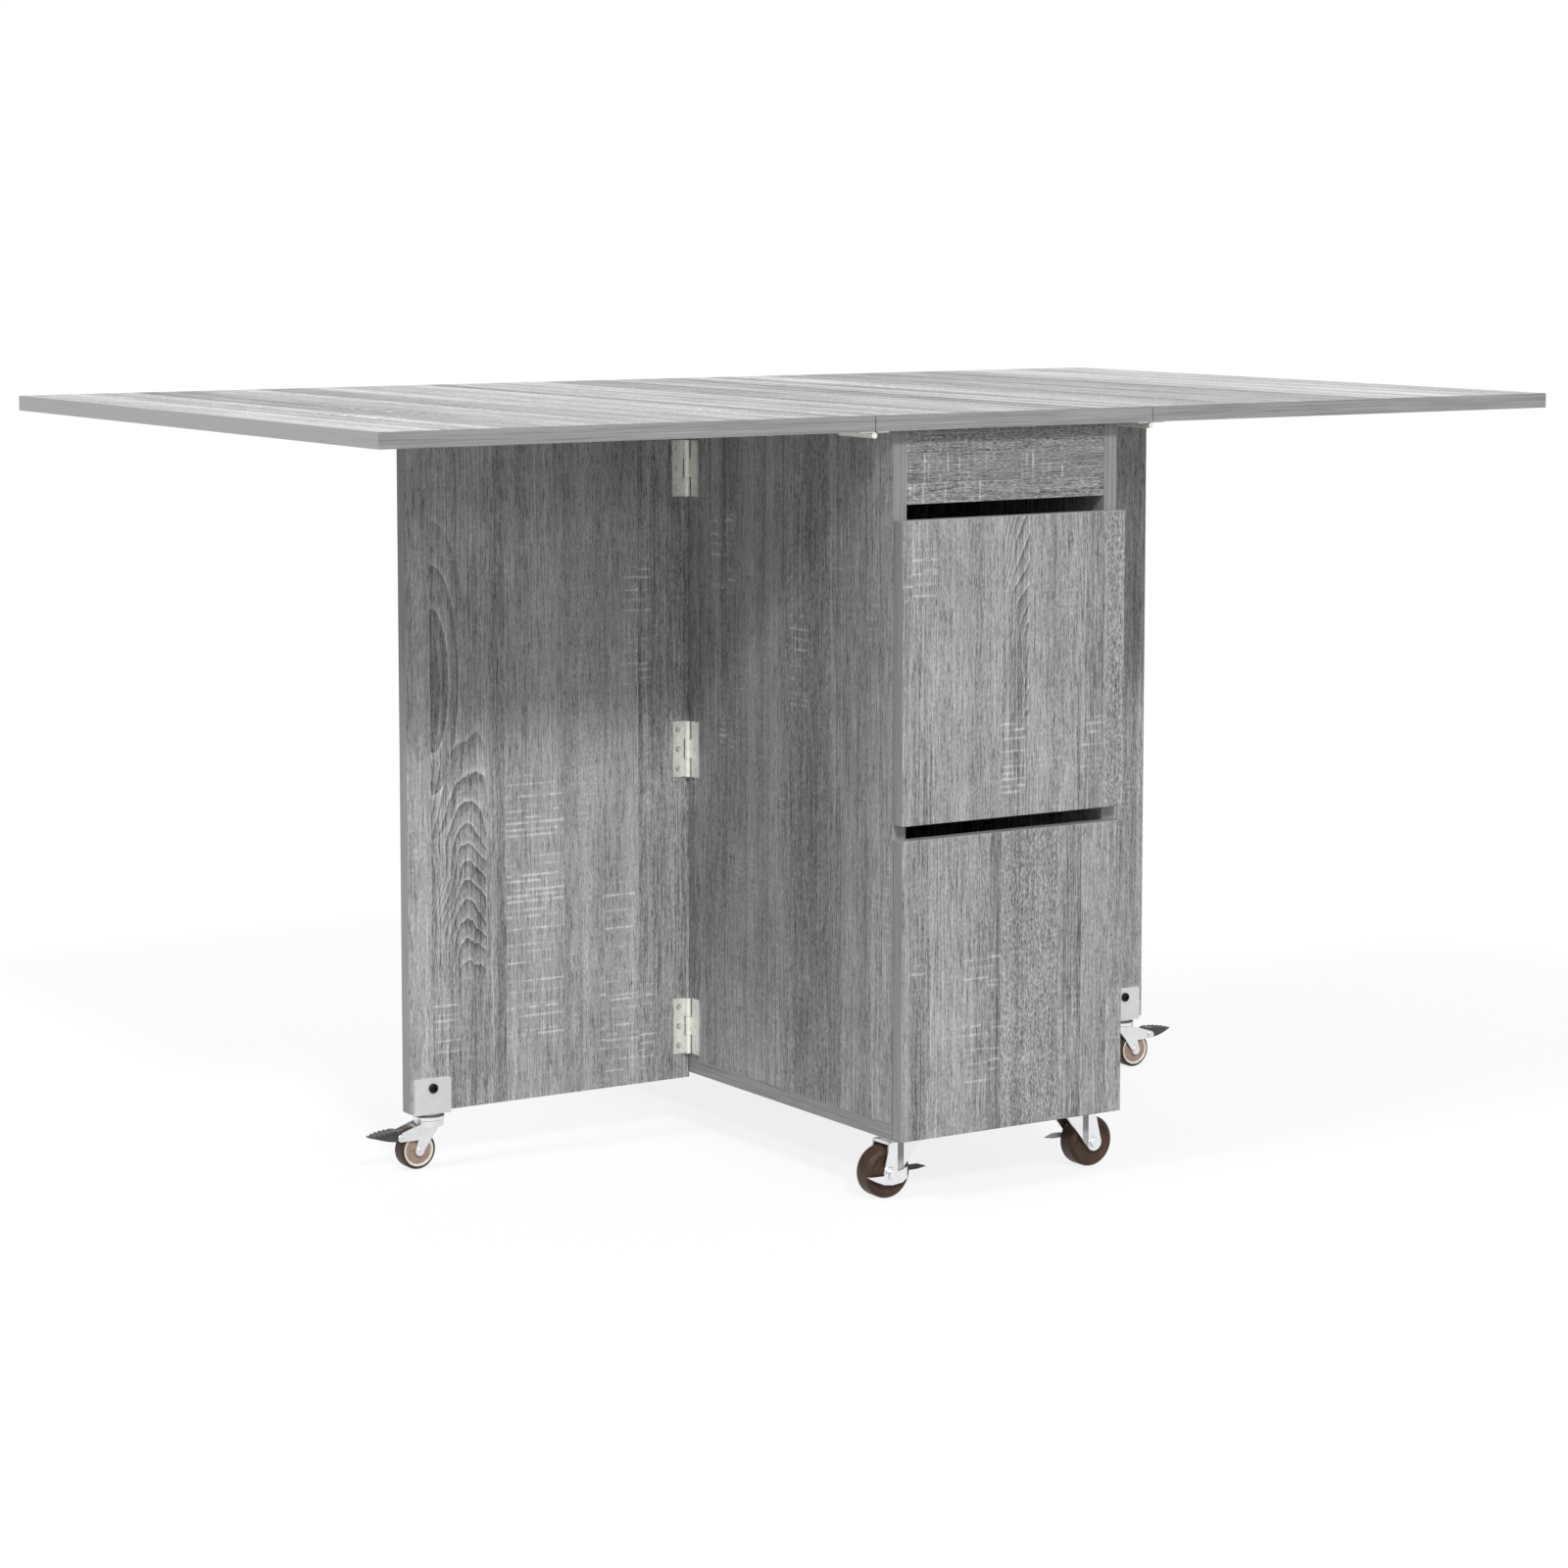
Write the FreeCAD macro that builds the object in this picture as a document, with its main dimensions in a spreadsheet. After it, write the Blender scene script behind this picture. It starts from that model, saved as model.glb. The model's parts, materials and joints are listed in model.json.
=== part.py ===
# Folding dining table: a narrow drawer cabinet on casters, two gates that swing out, two hinged leaves.
# Frame: +X along the opened top, -Y towards the drawers, +Z up, origin on the floor under the middle.
import FreeCAD, Part
import Sketcher
import os
import re

# Driving dimensions in millimetres.
SIZES = {
    # Top
    "top_length": 1350,
    "top_width": 800,
    "table_height": 750,
    "board": 15,
    "centre_width": 322,
    "seam_gap": 1,
    # Cabinet
    "cabinet_width": 261,
    "cabinet_clearance": 61,
    "front_setback": 1,
    "rear_setback": 16,
    "dowel_radius": 4,
    "dowel_length": 30,
    "dowel_depth": 10,
    "dowel_inset": 60,
    "dowel_clearance": 0.05,
    "angle_leg": 25,
    "angle_sheet": 2,
    "angle_width": 20,
    "angle_spread": 400,
    # Drawers
    "rail_height": 70.5,
    "finger_gap": 14,
    "front_side_margin": 0.5,
    "front_bottom_margin": 0.5,
    "front_closing_gap": 0.3,
    "drawer_board": 12,
    "drawer_depth": 400,
    "drawer_headroom": 65,
    "drawer_lift": 20,
    "drawer_floor": 4,
    "drawer_floor_lift": 6,
    "slide_space": 12.7,
    "slide_height": 36,
    "slide_sheet": 1.2,
    "slide_flange": 9,
    "slide_clearance": 0.3,
    "slide_rise": 60,
    "slide_front_inset": 2,
    # Gates
    "gate_length": 321,
    "gate_setback": 9.5,
    "gate_clearance": 56,
    "gate_top_gap": 0.5,
    "gate_end_gap": 0.5,
    # Butt hinges
    "hinge_height": 57,
    "hinge_plate_width": 16,
    "hinge_sheet": 1.2,
    "knuckle_radius": 3,
    "knuckle_lift": 0.4,
    "knuckle_gap": 0.4,
    "pin_radius": 1.5,
    "running_clearance": 0.05,
    "seat_clearance": 0.02,
    "gate_hinge_low_inset": 54,
    "gate_hinge_high_inset": 54.5,
    "leaf_hinge_edge": 2,
    "leaf_hinge_middle": 50,
    # Countersunk screws
    "screw_head_radius": 3,
    "screw_radius": 1.6,
    "screw_length": 12,
    "screw_pitch": 20,
    "screw_offset": 10,
    "pilot_spare": 0.5,
    "recess_length": 3.6,
    "recess_width": 0.8,
    "recess_depth": 0.8,
    # Gate foot bracket and bolt
    "bracket_width": 40,
    "bracket_height": 36,
    "bracket_sheet": 2.5,
    "bracket_inset": 4.5,
    "bracket_corner": 3,
    "bolt_rise": 23.5,
    "bolt_radius": 2.5,
    "bolt_head_radius": 4.75,
    "bolt_head_height": 3.2,
    "bolt_head_slope": 1.4,
    "socket_radius": 2.2,
    "socket_depth": 1.8,
    "bolt_clearance": 0.1,
    "nut_radius": 4.5,
    "nut_height": 4,
    # Swivels
    "kingpin_radius": 4,
    "kingpin_head_radius": 7,
    "kingpin_head_height": 1.5,
    "swivel_gap": 0.4,
    # Gate casters
    "gate_wheel_radius": 19,
    "gate_wheel_width": 17,
    "gate_hub_radius": 16,
    "gate_hub_dish": 1.2,
    "gate_tread_round": 2,
    "gate_trail": 15.5,
    "gate_leg_gap": 0.5,
    "gate_fork_sheet": 2,
    "gate_head_radius": 15.5,
    "gate_neck_radius": 12.5,
    "gate_head_height": 5.5,
    "gate_neck_height": 2,
    "gate_crown_radius": 15,
    "gate_crown_height": 6,
    "gate_leg_drop": 0.4,
    "gate_leg_front": 10,
    "gate_leg_rear": 12,
    "gate_axle_radius": 2.5,
    "gate_boss_radius": 5,
    "rivet_head_radius": 3.5,
    "rivet_head_height": 1.2,
    "rivet_dimple_radius": 1.6,
    "rivet_dimple_depth": 0.7,
    "horn_reach": 35.5,
    "horn_height": 34,
    "horn_radius": 4,
    "pedal_reach": 68,
    "pedal_rise": 7,
    "pedal_drop": 4,
    "pedal_tip_height": 2.5,
    "pedal_pin_radius": 2,
    "pedal_side_gap": 0.3,
    # Cabinet casters
    "plate_length": 50,
    "plate_width": 42,
    "plate_sheet": 2,
    "plate_hole_x": 20,
    "plate_hole_y": 16,
    "caster_inset_x": 29.5,
    "caster_inset_y": 28.7,
    "race_radius": 12,
    "race_height": 4,
    "cabinet_wheel_radius": 25,
    "cabinet_wheel_width": 22,
    "wheel_hub_radius": 8,
    "wheel_rim_radius": 19,
    "wheel_dish": 1.5,
    "wheel_tread_round": 3,
    "cabinet_trail": 20,
    "cabinet_leg_gap": 1,
    "cabinet_fork_sheet": 2.5,
    "cabinet_leg_rear": 1.5,
    "cabinet_boss_radius": 8.5,
    "leg_groove_offset": 6,
    "leg_groove_width": 6.5,
    "leg_groove_depth": 1,
    "cabinet_crown_front": 12,
    "axle_radius": 3,
    "axle_head_radius": 5,
    "axle_head_height": 2.5,
    "lever_sheet": 2.5,
    "lever_gap": 0.3,
    "lever_hub_radius": 6.5,
    "lever_short": 29,
    "lever_long": 38.5,
    "lever_neck": 17,
    "lever_droop": 10.8,
    "lever_lift": 6.5,
}

# Places and sizes that follow from the driving dimensions.
LAYOUT = {
    "top_underside": "table_height - board",
    "leaf_width": "top_length / 2 - centre_width / 2 - seam_gap",
    "seam_x": "centre_width / 2 + seam_gap / 2",
    "half_cabinet": "cabinet_width / 2",
    "half_inner": "cabinet_width / 2 - board",
    "front_face": "front_setback - top_width / 2",
    "front_back": "front_face + board",
    "carcase_front": "front_back + front_closing_gap",
    "carcase_back": "top_width / 2 - rear_setback",
    "carcase_depth": "carcase_back - carcase_front",
    "side_bottom": "cabinet_clearance + board",
    "side_height": "top_underside - side_bottom",
    "lower_front_bottom": "cabinet_clearance + front_bottom_margin",
    "rail_bottom": "top_underside - rail_height",
    "front_height": "(rail_bottom - lower_front_bottom) / 2 - finger_gap",
    "upper_front_bottom": "lower_front_bottom + front_height + finger_gap",
    "drawer_wall_height": "front_height - drawer_lift - drawer_headroom",
    "half_drawer": "half_inner - slide_space",
    "inner_slide_height": "slide_height - 2 * slide_sheet - 2 * slide_clearance",
    "gate_root": "half_cabinet + gate_end_gap",
    "gate_front": "-gate_setback - board / 2",
    "gate_height": "top_underside - gate_top_gap - gate_clearance",
    "gate_hinge_low": "gate_clearance + gate_hinge_low_inset",
    "gate_hinge_high": "gate_clearance + gate_height - gate_hinge_high_inset",
    "pin_height": "knuckle_radius + knuckle_lift",
    "gate_pin_x": "half_cabinet + pin_height",
    "gate_pin_y": "gate_front - pin_height",
    "leaf_pin_z": "top_underside - pin_height",
    "leaf_hinge_front": "-top_width / 2 + leaf_hinge_edge + hinge_height / 2",
    "knuckle_half": "hinge_height / 6 - knuckle_gap / 2",
    "knuckle_start": "hinge_height / 6 + knuckle_gap / 2",
    "gate_foot_x": "gate_root + gate_length - bracket_inset - bracket_width / 2",
    "bracket_half": "board / 2 + bracket_sheet",
    "bracket_bottom": "gate_clearance - bracket_sheet",
    "bracket_top": "bracket_bottom + bracket_height",
    "gate_head_bottom": "bracket_bottom - gate_head_height",
    "gate_crown_top": "gate_head_bottom - swivel_gap",
    "gate_crown_bottom": "gate_crown_top - gate_crown_height",
    "gate_leg_inner": "gate_wheel_width / 2 + gate_leg_gap",
    "gate_leg_outer": "gate_leg_inner + gate_fork_sheet",
    "gate_leg_top": "gate_crown_top - gate_leg_drop",
    "caster_x": "half_cabinet - caster_inset_x",
    "front_caster_y": "carcase_front + caster_inset_y",
    "rear_caster_y": "carcase_back - caster_inset_y",
    "plate_bottom": "cabinet_clearance - plate_sheet",
    "race_bottom": "plate_bottom - race_height",
    "cabinet_crown_top": "race_bottom - swivel_gap",
    "cabinet_crown_bottom": "cabinet_crown_top - cabinet_fork_sheet",
    "cabinet_leg_inner": "cabinet_wheel_width / 2 + cabinet_leg_gap",
    "cabinet_leg_outer": "cabinet_leg_inner + cabinet_fork_sheet",
    "lever_start": "cabinet_leg_outer + lever_gap",
    "lever_end": "lever_start + lever_sheet",
}

doc = FreeCAD.newDocument("folding_table")
nodes = []

PATHS = {"x": "Placement.Base.x", "y": "Placement.Base.y", "z": "Placement.Base.z"}
X_AXIS = FreeCAD.Vector(1, 0, 0)
Y_AXIS = FreeCAD.Vector(0, 1, 0)
Z_AXIS = FreeCAD.Vector(0, 0, 1)
UPRIGHT = FreeCAD.Rotation()
HALF_TURN = FreeCAD.Rotation(Z_AXIS, 180)

# A screw is drawn with its head up and its shank along -Z; these turns point the shank another way.
SHANK_UP = FreeCAD.Rotation(X_AXIS, 180)
SHANK_TO_PLUS_X = FreeCAD.Rotation(Y_AXIS, -90)
SHANK_TO_PLUS_Y = FreeCAD.Rotation(X_AXIS, 90)
SHANK_TO_MINUS_Y = FreeCAD.Rotation(X_AXIS, -90)
# A rod is drawn along +Z; these turns lay it along Y.
ROD_TO_PLUS_Y = FreeCAD.Rotation(X_AXIS, -90)
ROD_TO_MINUS_Y = FreeCAD.Rotation(X_AXIS, 90)


def fill_sheet(name, cells, own_names):
    """Put each named value in a cell of its own, with its name as the alias."""
    sheet = doc.addObject("Spreadsheet::Sheet", name)
    for row, (alias, content) in enumerate(cells.items(), start=1):
        text = str(content) if own_names is None else "=" + qualify(content, own_names)
        sheet.set("A%d" % row, alias)
        sheet.set("B%d" % row, text)
        sheet.setAlias("B%d" % row, alias)
    doc.recompute()
    return sheet


def qualify(expression, bare=()):
    """Write each alias in an expression with the sheet that holds it."""
    def with_sheet(match):
        word = match.group(0)
        if word in bare:
            return word
        if word in SIZES:
            return "Sizes." + word
        return "Layout." + word
    return re.sub(r"[a-z][a-z_]*", with_sheet, expression)


sizes = fill_sheet("Sizes", SIZES, None)
fill_sheet("Layout", LAYOUT, LAYOUT)


def number(expression):
    """The present value of an expression, for first guesses and edge searches."""
    return float(sizes.evalExpression(qualify(expression)))


def bind(item, **expressions):
    """Tie properties of a document object to the sheets."""
    for prop, expression in expressions.items():
        item.setExpression(PATHS.get(prop, prop), qualify(expression))
    return item


def keep(item, label):
    """Name a finished sub-part and list it for export."""
    item.Label = label
    nodes.append(item)
    return item


# Plain solids and booleans

def box(name, x, y, z, dx, dy, dz):
    solid = doc.addObject("Part::Box", name)
    return bind(solid, x=x, y=y, z=z, Length=dx, Width=dy, Height=dz)


def rod(name, radius, height, x="0", y="0", z="0", turn=UPRIGHT):
    solid = doc.addObject("Part::Cylinder", name)
    solid.Placement = FreeCAD.Placement(FreeCAD.Vector(), turn)
    return bind(solid, Radius=radius, Height=height, x=x, y=y, z=z)


def group(name, members):
    bundle = doc.addObject("Part::Compound", name)
    bundle.Links = members
    return bundle


def fuse(name, members):
    joined = doc.addObject("Part::MultiFuse", name)
    joined.Shapes = members
    return joined


def cut(name, base, tools):
    result = doc.addObject("Part::Cut", name)
    result.Base = base
    result.Tool = tools[0] if len(tools) == 1 else group(name + "_tools", tools)
    return result


def place(name, master, x="0", y="0", z="0", turn=UPRIGHT):
    """A copy of a master piece at its own place."""
    copy = group(name, [master])
    copy.Placement = FreeCAD.Placement(FreeCAD.Vector(), turn)
    return bind(copy, x=x, y=y, z=z)


def mirror(name, source):
    """The right-hand twin of a left-hand piece."""
    twin = doc.addObject("Part::Mirroring", name)
    twin.Source = source
    twin.Base = FreeCAD.Vector()
    twin.Normal = X_AXIS
    return twin


# Sketched solids

def new_sketch(body, plane, start):
    origin_plane = [item for item in body.Origin.OriginFeatures if item.Role == plane + "_Plane"][0]
    sketch = body.newObject("Sketcher::SketchObject", body.Name + "_sketch")
    sketch.AttachmentSupport = (origin_plane, [""])
    sketch.MapMode = "FlatFace"
    sketch.setExpression("AttachmentOffset.Base.z", qualify(start))
    return sketch


def tie(sketch, kind, geometry, point, expression):
    """Hold one coordinate of a point at its distance from the sketch origin."""
    constraint = Sketcher.Constraint(kind, -1, 1, geometry, point, number(expression))
    index = sketch.addConstraint(constraint)
    sketch.setExpression("Constraints[%d]" % index, qualify(expression))


def draw_polygon(sketch, corners):
    points = [FreeCAD.Vector(number(across), number(up), 0) for across, up in corners]
    for index, point in enumerate(points):
        following = points[(index + 1) % len(points)]
        sketch.addGeometry(Part.LineSegment(point, following), False)
    for index, (across, up) in enumerate(corners):
        sketch.addConstraint(Sketcher.Constraint("Coincident", index, 2, (index + 1) % len(corners), 1))
        tie(sketch, "DistanceX", index, 1, across)
        tie(sketch, "DistanceY", index, 1, up)


def draw_circle(sketch, across, up, radius):
    centre = FreeCAD.Vector(number(across), number(up), 0)
    sketch.addGeometry(Part.Circle(centre, Z_AXIS, number(radius)), False)
    tie(sketch, "DistanceX", 0, 3, across)
    tie(sketch, "DistanceY", 0, 3, up)
    index = sketch.addConstraint(Sketcher.Constraint("Radius", 0, number(radius)))
    sketch.setExpression("Constraints[%d]" % index, qualify(radius))


def outline_sketch(body, plane, outline, start):
    """An outline is a list of corners, or a circle's centre and radius."""
    sketch = new_sketch(body, plane, start)
    if isinstance(outline, list):
        draw_polygon(sketch, outline)
    else:
        draw_circle(sketch, *outline)
    return sketch


def new_body(name):
    return doc.addObject("PartDesign::Body", name)


def pad(body, plane, outline, start, length):
    """Add material from a start distance along the plane's normal: +Z, +X or, on XZ, -Y."""
    sketch = outline_sketch(body, plane, outline, start)
    feature = body.newObject("PartDesign::Pad", body.Name + "_pad")
    feature.Profile = sketch
    return bind(feature, Length=length)


def pocket(body, plane, outline, start, length):
    """Remove material over the same stretch that a pad would fill."""
    sketch = outline_sketch(body, plane, outline, start)
    feature = body.newObject("PartDesign::Pocket", body.Name + "_pocket")
    feature.Profile = sketch
    feature.Reversed = True
    return bind(feature, Length=length)


def turn_profile(name, corners):
    """A wheel: a profile of radius against width, turned about the Y axis."""
    body = new_body(name)
    sketch = outline_sketch(body, "XY", corners, "0")
    feature = body.newObject("PartDesign::Revolution", name + "_turned")
    feature.Profile = sketch
    feature.ReferenceAxis = (sketch, ["V_Axis"])
    feature.Angle = 360
    return body


# Screws and the holes that they sit in

def screw_shape(name, spare_radius, spare_length):
    head = doc.addObject("Part::Cone", name + "_head")
    bind(head, Radius1="screw_radius + " + spare_radius, Radius2="screw_head_radius + " + spare_radius)
    bind(head, Height="hinge_sheet", z="-hinge_sheet")
    depth = "screw_length + " + spare_length
    shank = rod(name + "_shank", "screw_radius + " + spare_radius, depth, z="-(%s)" % depth)
    return fuse(name, [head, shank])


def cross_recess():
    """The driver slot in a screw head."""
    half_length, half_width = "-recess_length / 2", "-recess_width / 2"
    arms = [box("recess_across", half_length, half_width, "-recess_depth",
                "recess_length", "recess_width", "recess_depth"),
            box("recess_along", half_width, half_length, "-recess_depth",
                "recess_width", "recess_length", "recess_depth")]
    return fuse("cross_recess", arms)


screw = cut("screw", screw_shape("plain_screw", "0", "0"), [cross_recess()])
screw_hole = screw_shape("screw_hole", "running_clearance", "pilot_spare")


def screws_at(name, places, turn):
    """One screw for each place."""
    return [place("%s_%d" % (name, index), screw, *spot, turn) for index, spot in enumerate(places)]


def holes_at(name, places, turn):
    """The hole for each of those screws."""
    return [place("%s_hole_%d" % (name, index), screw_hole, *spot, turn)
            for index, spot in enumerate(places)]


# Butt hinges, drawn with the pin along Z and the boards behind y = -pin_height

def screw_heights(middle):
    return [middle + " - screw_pitch", middle, middle + " + screw_pitch"]


def hinge_plate(name, side, segments):
    """One plate: side is + or -, segments are the stretches of knuckle that it carries."""
    back = "-pin_height"
    root = "knuckle_radius + knuckle_gap"
    strip_width = "hinge_plate_width - " + root.replace(" + ", " - ")
    strip_x = root if side == "+" else "-hinge_plate_width"
    pieces = [box(name + "_strip", strip_x, back, "-hinge_height / 2",
                  strip_width, "hinge_sheet", "hinge_height")]
    for index, (low, high) in enumerate(segments):
        height = "%s - (%s)" % (high, low)
        tongue_x = "0" if side == "+" else "-(%s)" % root
        pieces.append(box("%s_tongue_%d" % (name, index), tongue_x, back, low, root, "hinge_sheet", height))
        pieces.append(rod("%s_knuckle_%d" % (name, index), "knuckle_radius", height, z=low))
    fit = "seat_clearance" if len(segments) == 1 else "running_clearance"
    bore = rod(name + "_bore", "pin_radius + " + fit, "hinge_height", z="-hinge_height / 2")
    spots = [(side + "screw_offset", "hinge_sheet - pin_height", height) for height in screw_heights("0")]
    return cut(name, fuse(name + "_joined", pieces), [bore] + holes_at(name, spots, SHANK_TO_MINUS_Y))


END_KNUCKLES = [("-hinge_height / 2", "-knuckle_start"), ("knuckle_start", "hinge_height / 2")]
MIDDLE_KNUCKLE = [("-knuckle_half", "knuckle_half")]
fixed_plate = hinge_plate("fixed_plate", "+", MIDDLE_KNUCKLE)
moving_plate = hinge_plate("moving_plate", "-", END_KNUCKLES)
hinge_pin = rod("hinge_pin", "pin_radius", "hinge_height", z="-hinge_height / 2")

FACING_DOWN = FreeCAD.Rotation(X_AXIS, -Z_AXIS, Y_AXIS, "ZXY")
FIXED_ON_SIDE = FreeCAD.Rotation(-Y_AXIS, -X_AXIS, -Z_AXIS, "ZXY")
MOVING_ON_GATE = FreeCAD.Rotation(X_AXIS, -Y_AXIS, -Z_AXIS, "ZXY")

LEAF_HINGES = ["leaf_hinge_front", "leaf_hinge_middle", "-leaf_hinge_front"]
GATE_HINGES = ["gate_hinge_low", "(gate_hinge_low + gate_hinge_high) / 2", "gate_hinge_high"]


def along_seam(name, master):
    """Copies of a hinge piece under the left seam."""
    spots = [("-seam_x", middle, "leaf_pin_z") for middle in LEAF_HINGES]
    return [place("%s_%d" % (name, index), master, *spot, FACING_DOWN) for index, spot in enumerate(spots)]


def up_the_gate(name, master, turn):
    """Copies of a hinge piece at the root of the left gate."""
    spots = [("-gate_pin_x", "gate_pin_y", middle) for middle in GATE_HINGES]
    return [place("%s_%d" % (name, index), master, *spot, turn) for index, spot in enumerate(spots)]


def with_twins(name, members):
    """Left-hand copies together with their right-hand twins."""
    left = group(name + "_left", members)
    return group(name, [left, mirror(name + "_right", left)])


keep(with_twins("leaf_fixed", along_seam("leaf_fixed_plate", fixed_plate)), "leaf_hinge_fixed_plates")
keep(with_twins("leaf_pins", along_seam("leaf_pin", hinge_pin)), "leaf_hinge_pins")
keep(with_twins("gate_fixed", up_the_gate("gate_fixed_plate", fixed_plate, FIXED_ON_SIDE)),
     "gate_hinge_fixed_plates")
keep(with_twins("gate_pins", up_the_gate("gate_pin", hinge_pin, UPRIGHT)), "gate_hinge_pins")

leaf_moving = group("leaf_moving", along_seam("leaf_moving_plate", moving_plate))
keep(leaf_moving, "left_leaf_hinge_plates")
keep(mirror("leaf_moving_right", leaf_moving), "right_leaf_hinge_plates")
gate_moving = group("gate_moving", up_the_gate("gate_moving_plate", moving_plate, MOVING_ON_GATE))
keep(gate_moving, "left_gate_hinge_plates")
keep(mirror("gate_moving_right", gate_moving), "right_gate_hinge_plates")


def seam_screws(offset):
    """Screw places under the left seam, on one side of the pin."""
    height = "top_underside - hinge_sheet"
    return [("-seam_x " + offset, spot, height) for middle in LEAF_HINGES for spot in screw_heights(middle)]


CENTRE_SCREWS = seam_screws("+ screw_offset")
LEAF_SCREWS = seam_screws("- screw_offset")
SIDE_SCREWS = [("-half_cabinet - hinge_sheet", "gate_pin_y - screw_offset", spot)
               for middle in GATE_HINGES for spot in screw_heights(middle)]
GATE_SCREWS = [("-gate_pin_x - screw_offset", "gate_front - hinge_sheet", spot)
               for middle in GATE_HINGES for spot in screw_heights(middle)]


# Top boards

def top_boards():
    edge = "-top_width / 2"
    centre = box("centre_board", "-centre_width / 2", edge, "top_underside",
                 "centre_width", "top_width", "board")
    holes = group("centre_holes", holes_at("centre", CENTRE_SCREWS, SHANK_UP))
    keep(cut("centre_cut", centre, [holes, mirror("centre_holes_right", holes)]), "centre_top")
    leaf = box("leaf_board", "-top_length / 2", edge, "top_underside", "leaf_width", "top_width", "board")
    left = cut("leaf_cut", leaf, holes_at("leaf", LEAF_SCREWS, SHANK_UP))
    keep(left, "left_leaf")
    keep(mirror("leaf_right", left), "right_leaf")
    screws = group("leaf_screws", screws_at("leaf_screw", LEAF_SCREWS, SHANK_UP))
    keep(screws, "left_leaf_screws")
    keep(mirror("leaf_screws_right", screws), "right_leaf_screws")


# Cabinet casters, drawn about their swivel axis with the wheel towards -X

PLATE_HOLES = [(across, along) for across in ("-plate_hole_x", "plate_hole_x")
               for along in ("-plate_hole_y", "plate_hole_y")]
CASTERS = {
    "front_left": ("-caster_x", "front_caster_y", UPRIGHT),
    "front_right": ("caster_x", "front_caster_y", HALF_TURN),
    "rear_left": ("-caster_x", "rear_caster_y", UPRIGHT),
    "rear_right": ("caster_x", "rear_caster_y", HALF_TURN),
}
ORIGIN_CIRCLE = ("0", "0")


def plate_screws(x="0", y="0"):
    return [("%s + %s" % (x, across), "%s + %s" % (y, along), "plate_bottom")
            for across, along in PLATE_HOLES]


def kingpin(body, low, high):
    """A swivel pin with its head under the crown."""
    pin_start = low + " - swivel_gap"
    pad(body, "XY", (*ORIGIN_CIRCLE, "kingpin_radius"), pin_start, "%s - (%s)" % (high, pin_start))
    head_start = pin_start + " - kingpin_head_height"
    pad(body, "XY", (*ORIGIN_CIRCLE, "kingpin_head_radius"), head_start, "kingpin_head_height")


def rectangle(low_x, high_x, half_y):
    return [(low_x, "-" + half_y), (high_x, "-" + half_y), (high_x, half_y), (low_x, half_y)]


def caster_plate():
    body = new_body("mounting_plate")
    pad(body, "XY", rectangle("-plate_length / 2", "plate_length / 2", "plate_width / 2"),
        "plate_bottom", "plate_sheet")
    pad(body, "XY", (*ORIGIN_CIRCLE, "race_radius"), "race_bottom", "race_height")
    kingpin(body, "cabinet_crown_bottom", "race_bottom")
    return cut("drilled_plate", body, holes_at("plate", plate_screws(), SHANK_UP))


def cabinet_fork():
    body = new_body("cabinet_fork")
    rear = "-cabinet_trail - cabinet_leg_rear"
    pad(body, "XY", rectangle(rear, "cabinet_crown_front", "cabinet_leg_outer"),
        "cabinet_crown_bottom", "cabinet_fork_sheet")
    hub = "cabinet_wheel_radius"
    leg = [("cabinet_crown_front", "cabinet_crown_top"),
           ("cabinet_crown_front", "cabinet_crown_bottom"),
           ("cabinet_boss_radius * 4 / 5 - cabinet_trail", hub + " - cabinet_boss_radius * 3 / 5"),
           ("-cabinet_boss_radius - cabinet_trail", hub),
           (rear, "cabinet_crown_top")]
    for start in ("cabinet_leg_inner", "-cabinet_leg_outer"):
        pad(body, "XZ", leg, start, "cabinet_fork_sheet")
        pad(body, "XZ", ("-cabinet_trail", hub, "cabinet_boss_radius"), start, "cabinet_fork_sheet")
    groove_end = "-leg_groove_offset - leg_groove_width"
    groove = [(groove_end, hub), ("-leg_groove_offset", hub),
              ("-leg_groove_offset", "cabinet_crown_bottom"), (groove_end, "cabinet_crown_bottom")]
    for start in ("cabinet_leg_outer - leg_groove_depth", "-cabinet_leg_outer"):
        pocket(body, "XZ", groove, start, "leg_groove_depth")
    axle_hole = ("-cabinet_trail", hub, "axle_radius + seat_clearance")
    pocket(body, "XZ", axle_hole, "-cabinet_leg_outer", "2 * cabinet_leg_outer")
    pin_hole = (*ORIGIN_CIRCLE, "kingpin_radius + running_clearance")
    pocket(body, "XY", pin_hole, "cabinet_crown_bottom", "cabinet_fork_sheet")
    return body


def nut(name, radius, thread_radius, spot):
    """A hexagon nut that reaches towards +Y from its seat."""
    hexagon = doc.addObject("Part::Prism", name + "_hexagon")
    hexagon.Polygon = 6
    hexagon.Placement = FreeCAD.Placement(FreeCAD.Vector(), ROD_TO_PLUS_Y)
    x, y, z = spot
    bind(hexagon, Circumradius=radius, Height="nut_height", x=x, y=y, z=z)
    thread = rod(name + "_thread", thread_radius + " + seat_clearance", "nut_height", *spot, ROD_TO_PLUS_Y)
    return cut(name, hexagon, [thread])


def axle_bolt(name, head_start):
    """Bolt with its head on the -Y side and a nut on the other."""
    head_spot = ("-cabinet_trail", "-(%s)" % head_start, "cabinet_wheel_radius")
    nut_spot = ("-cabinet_trail", "cabinet_leg_outer", "cabinet_wheel_radius")
    length = head_start + " + cabinet_leg_outer + nut_height"
    shank = rod(name + "_shank", "axle_radius", length, *head_spot, ROD_TO_PLUS_Y)
    head = rod(name + "_head", "axle_head_radius", "axle_head_height", *head_spot, ROD_TO_MINUS_Y)
    bolt = fuse(name, [shank, head])
    return group(name + "_with_nut", [bolt, nut(name + "_nut", "axle_head_radius", "axle_radius", nut_spot)])


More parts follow.
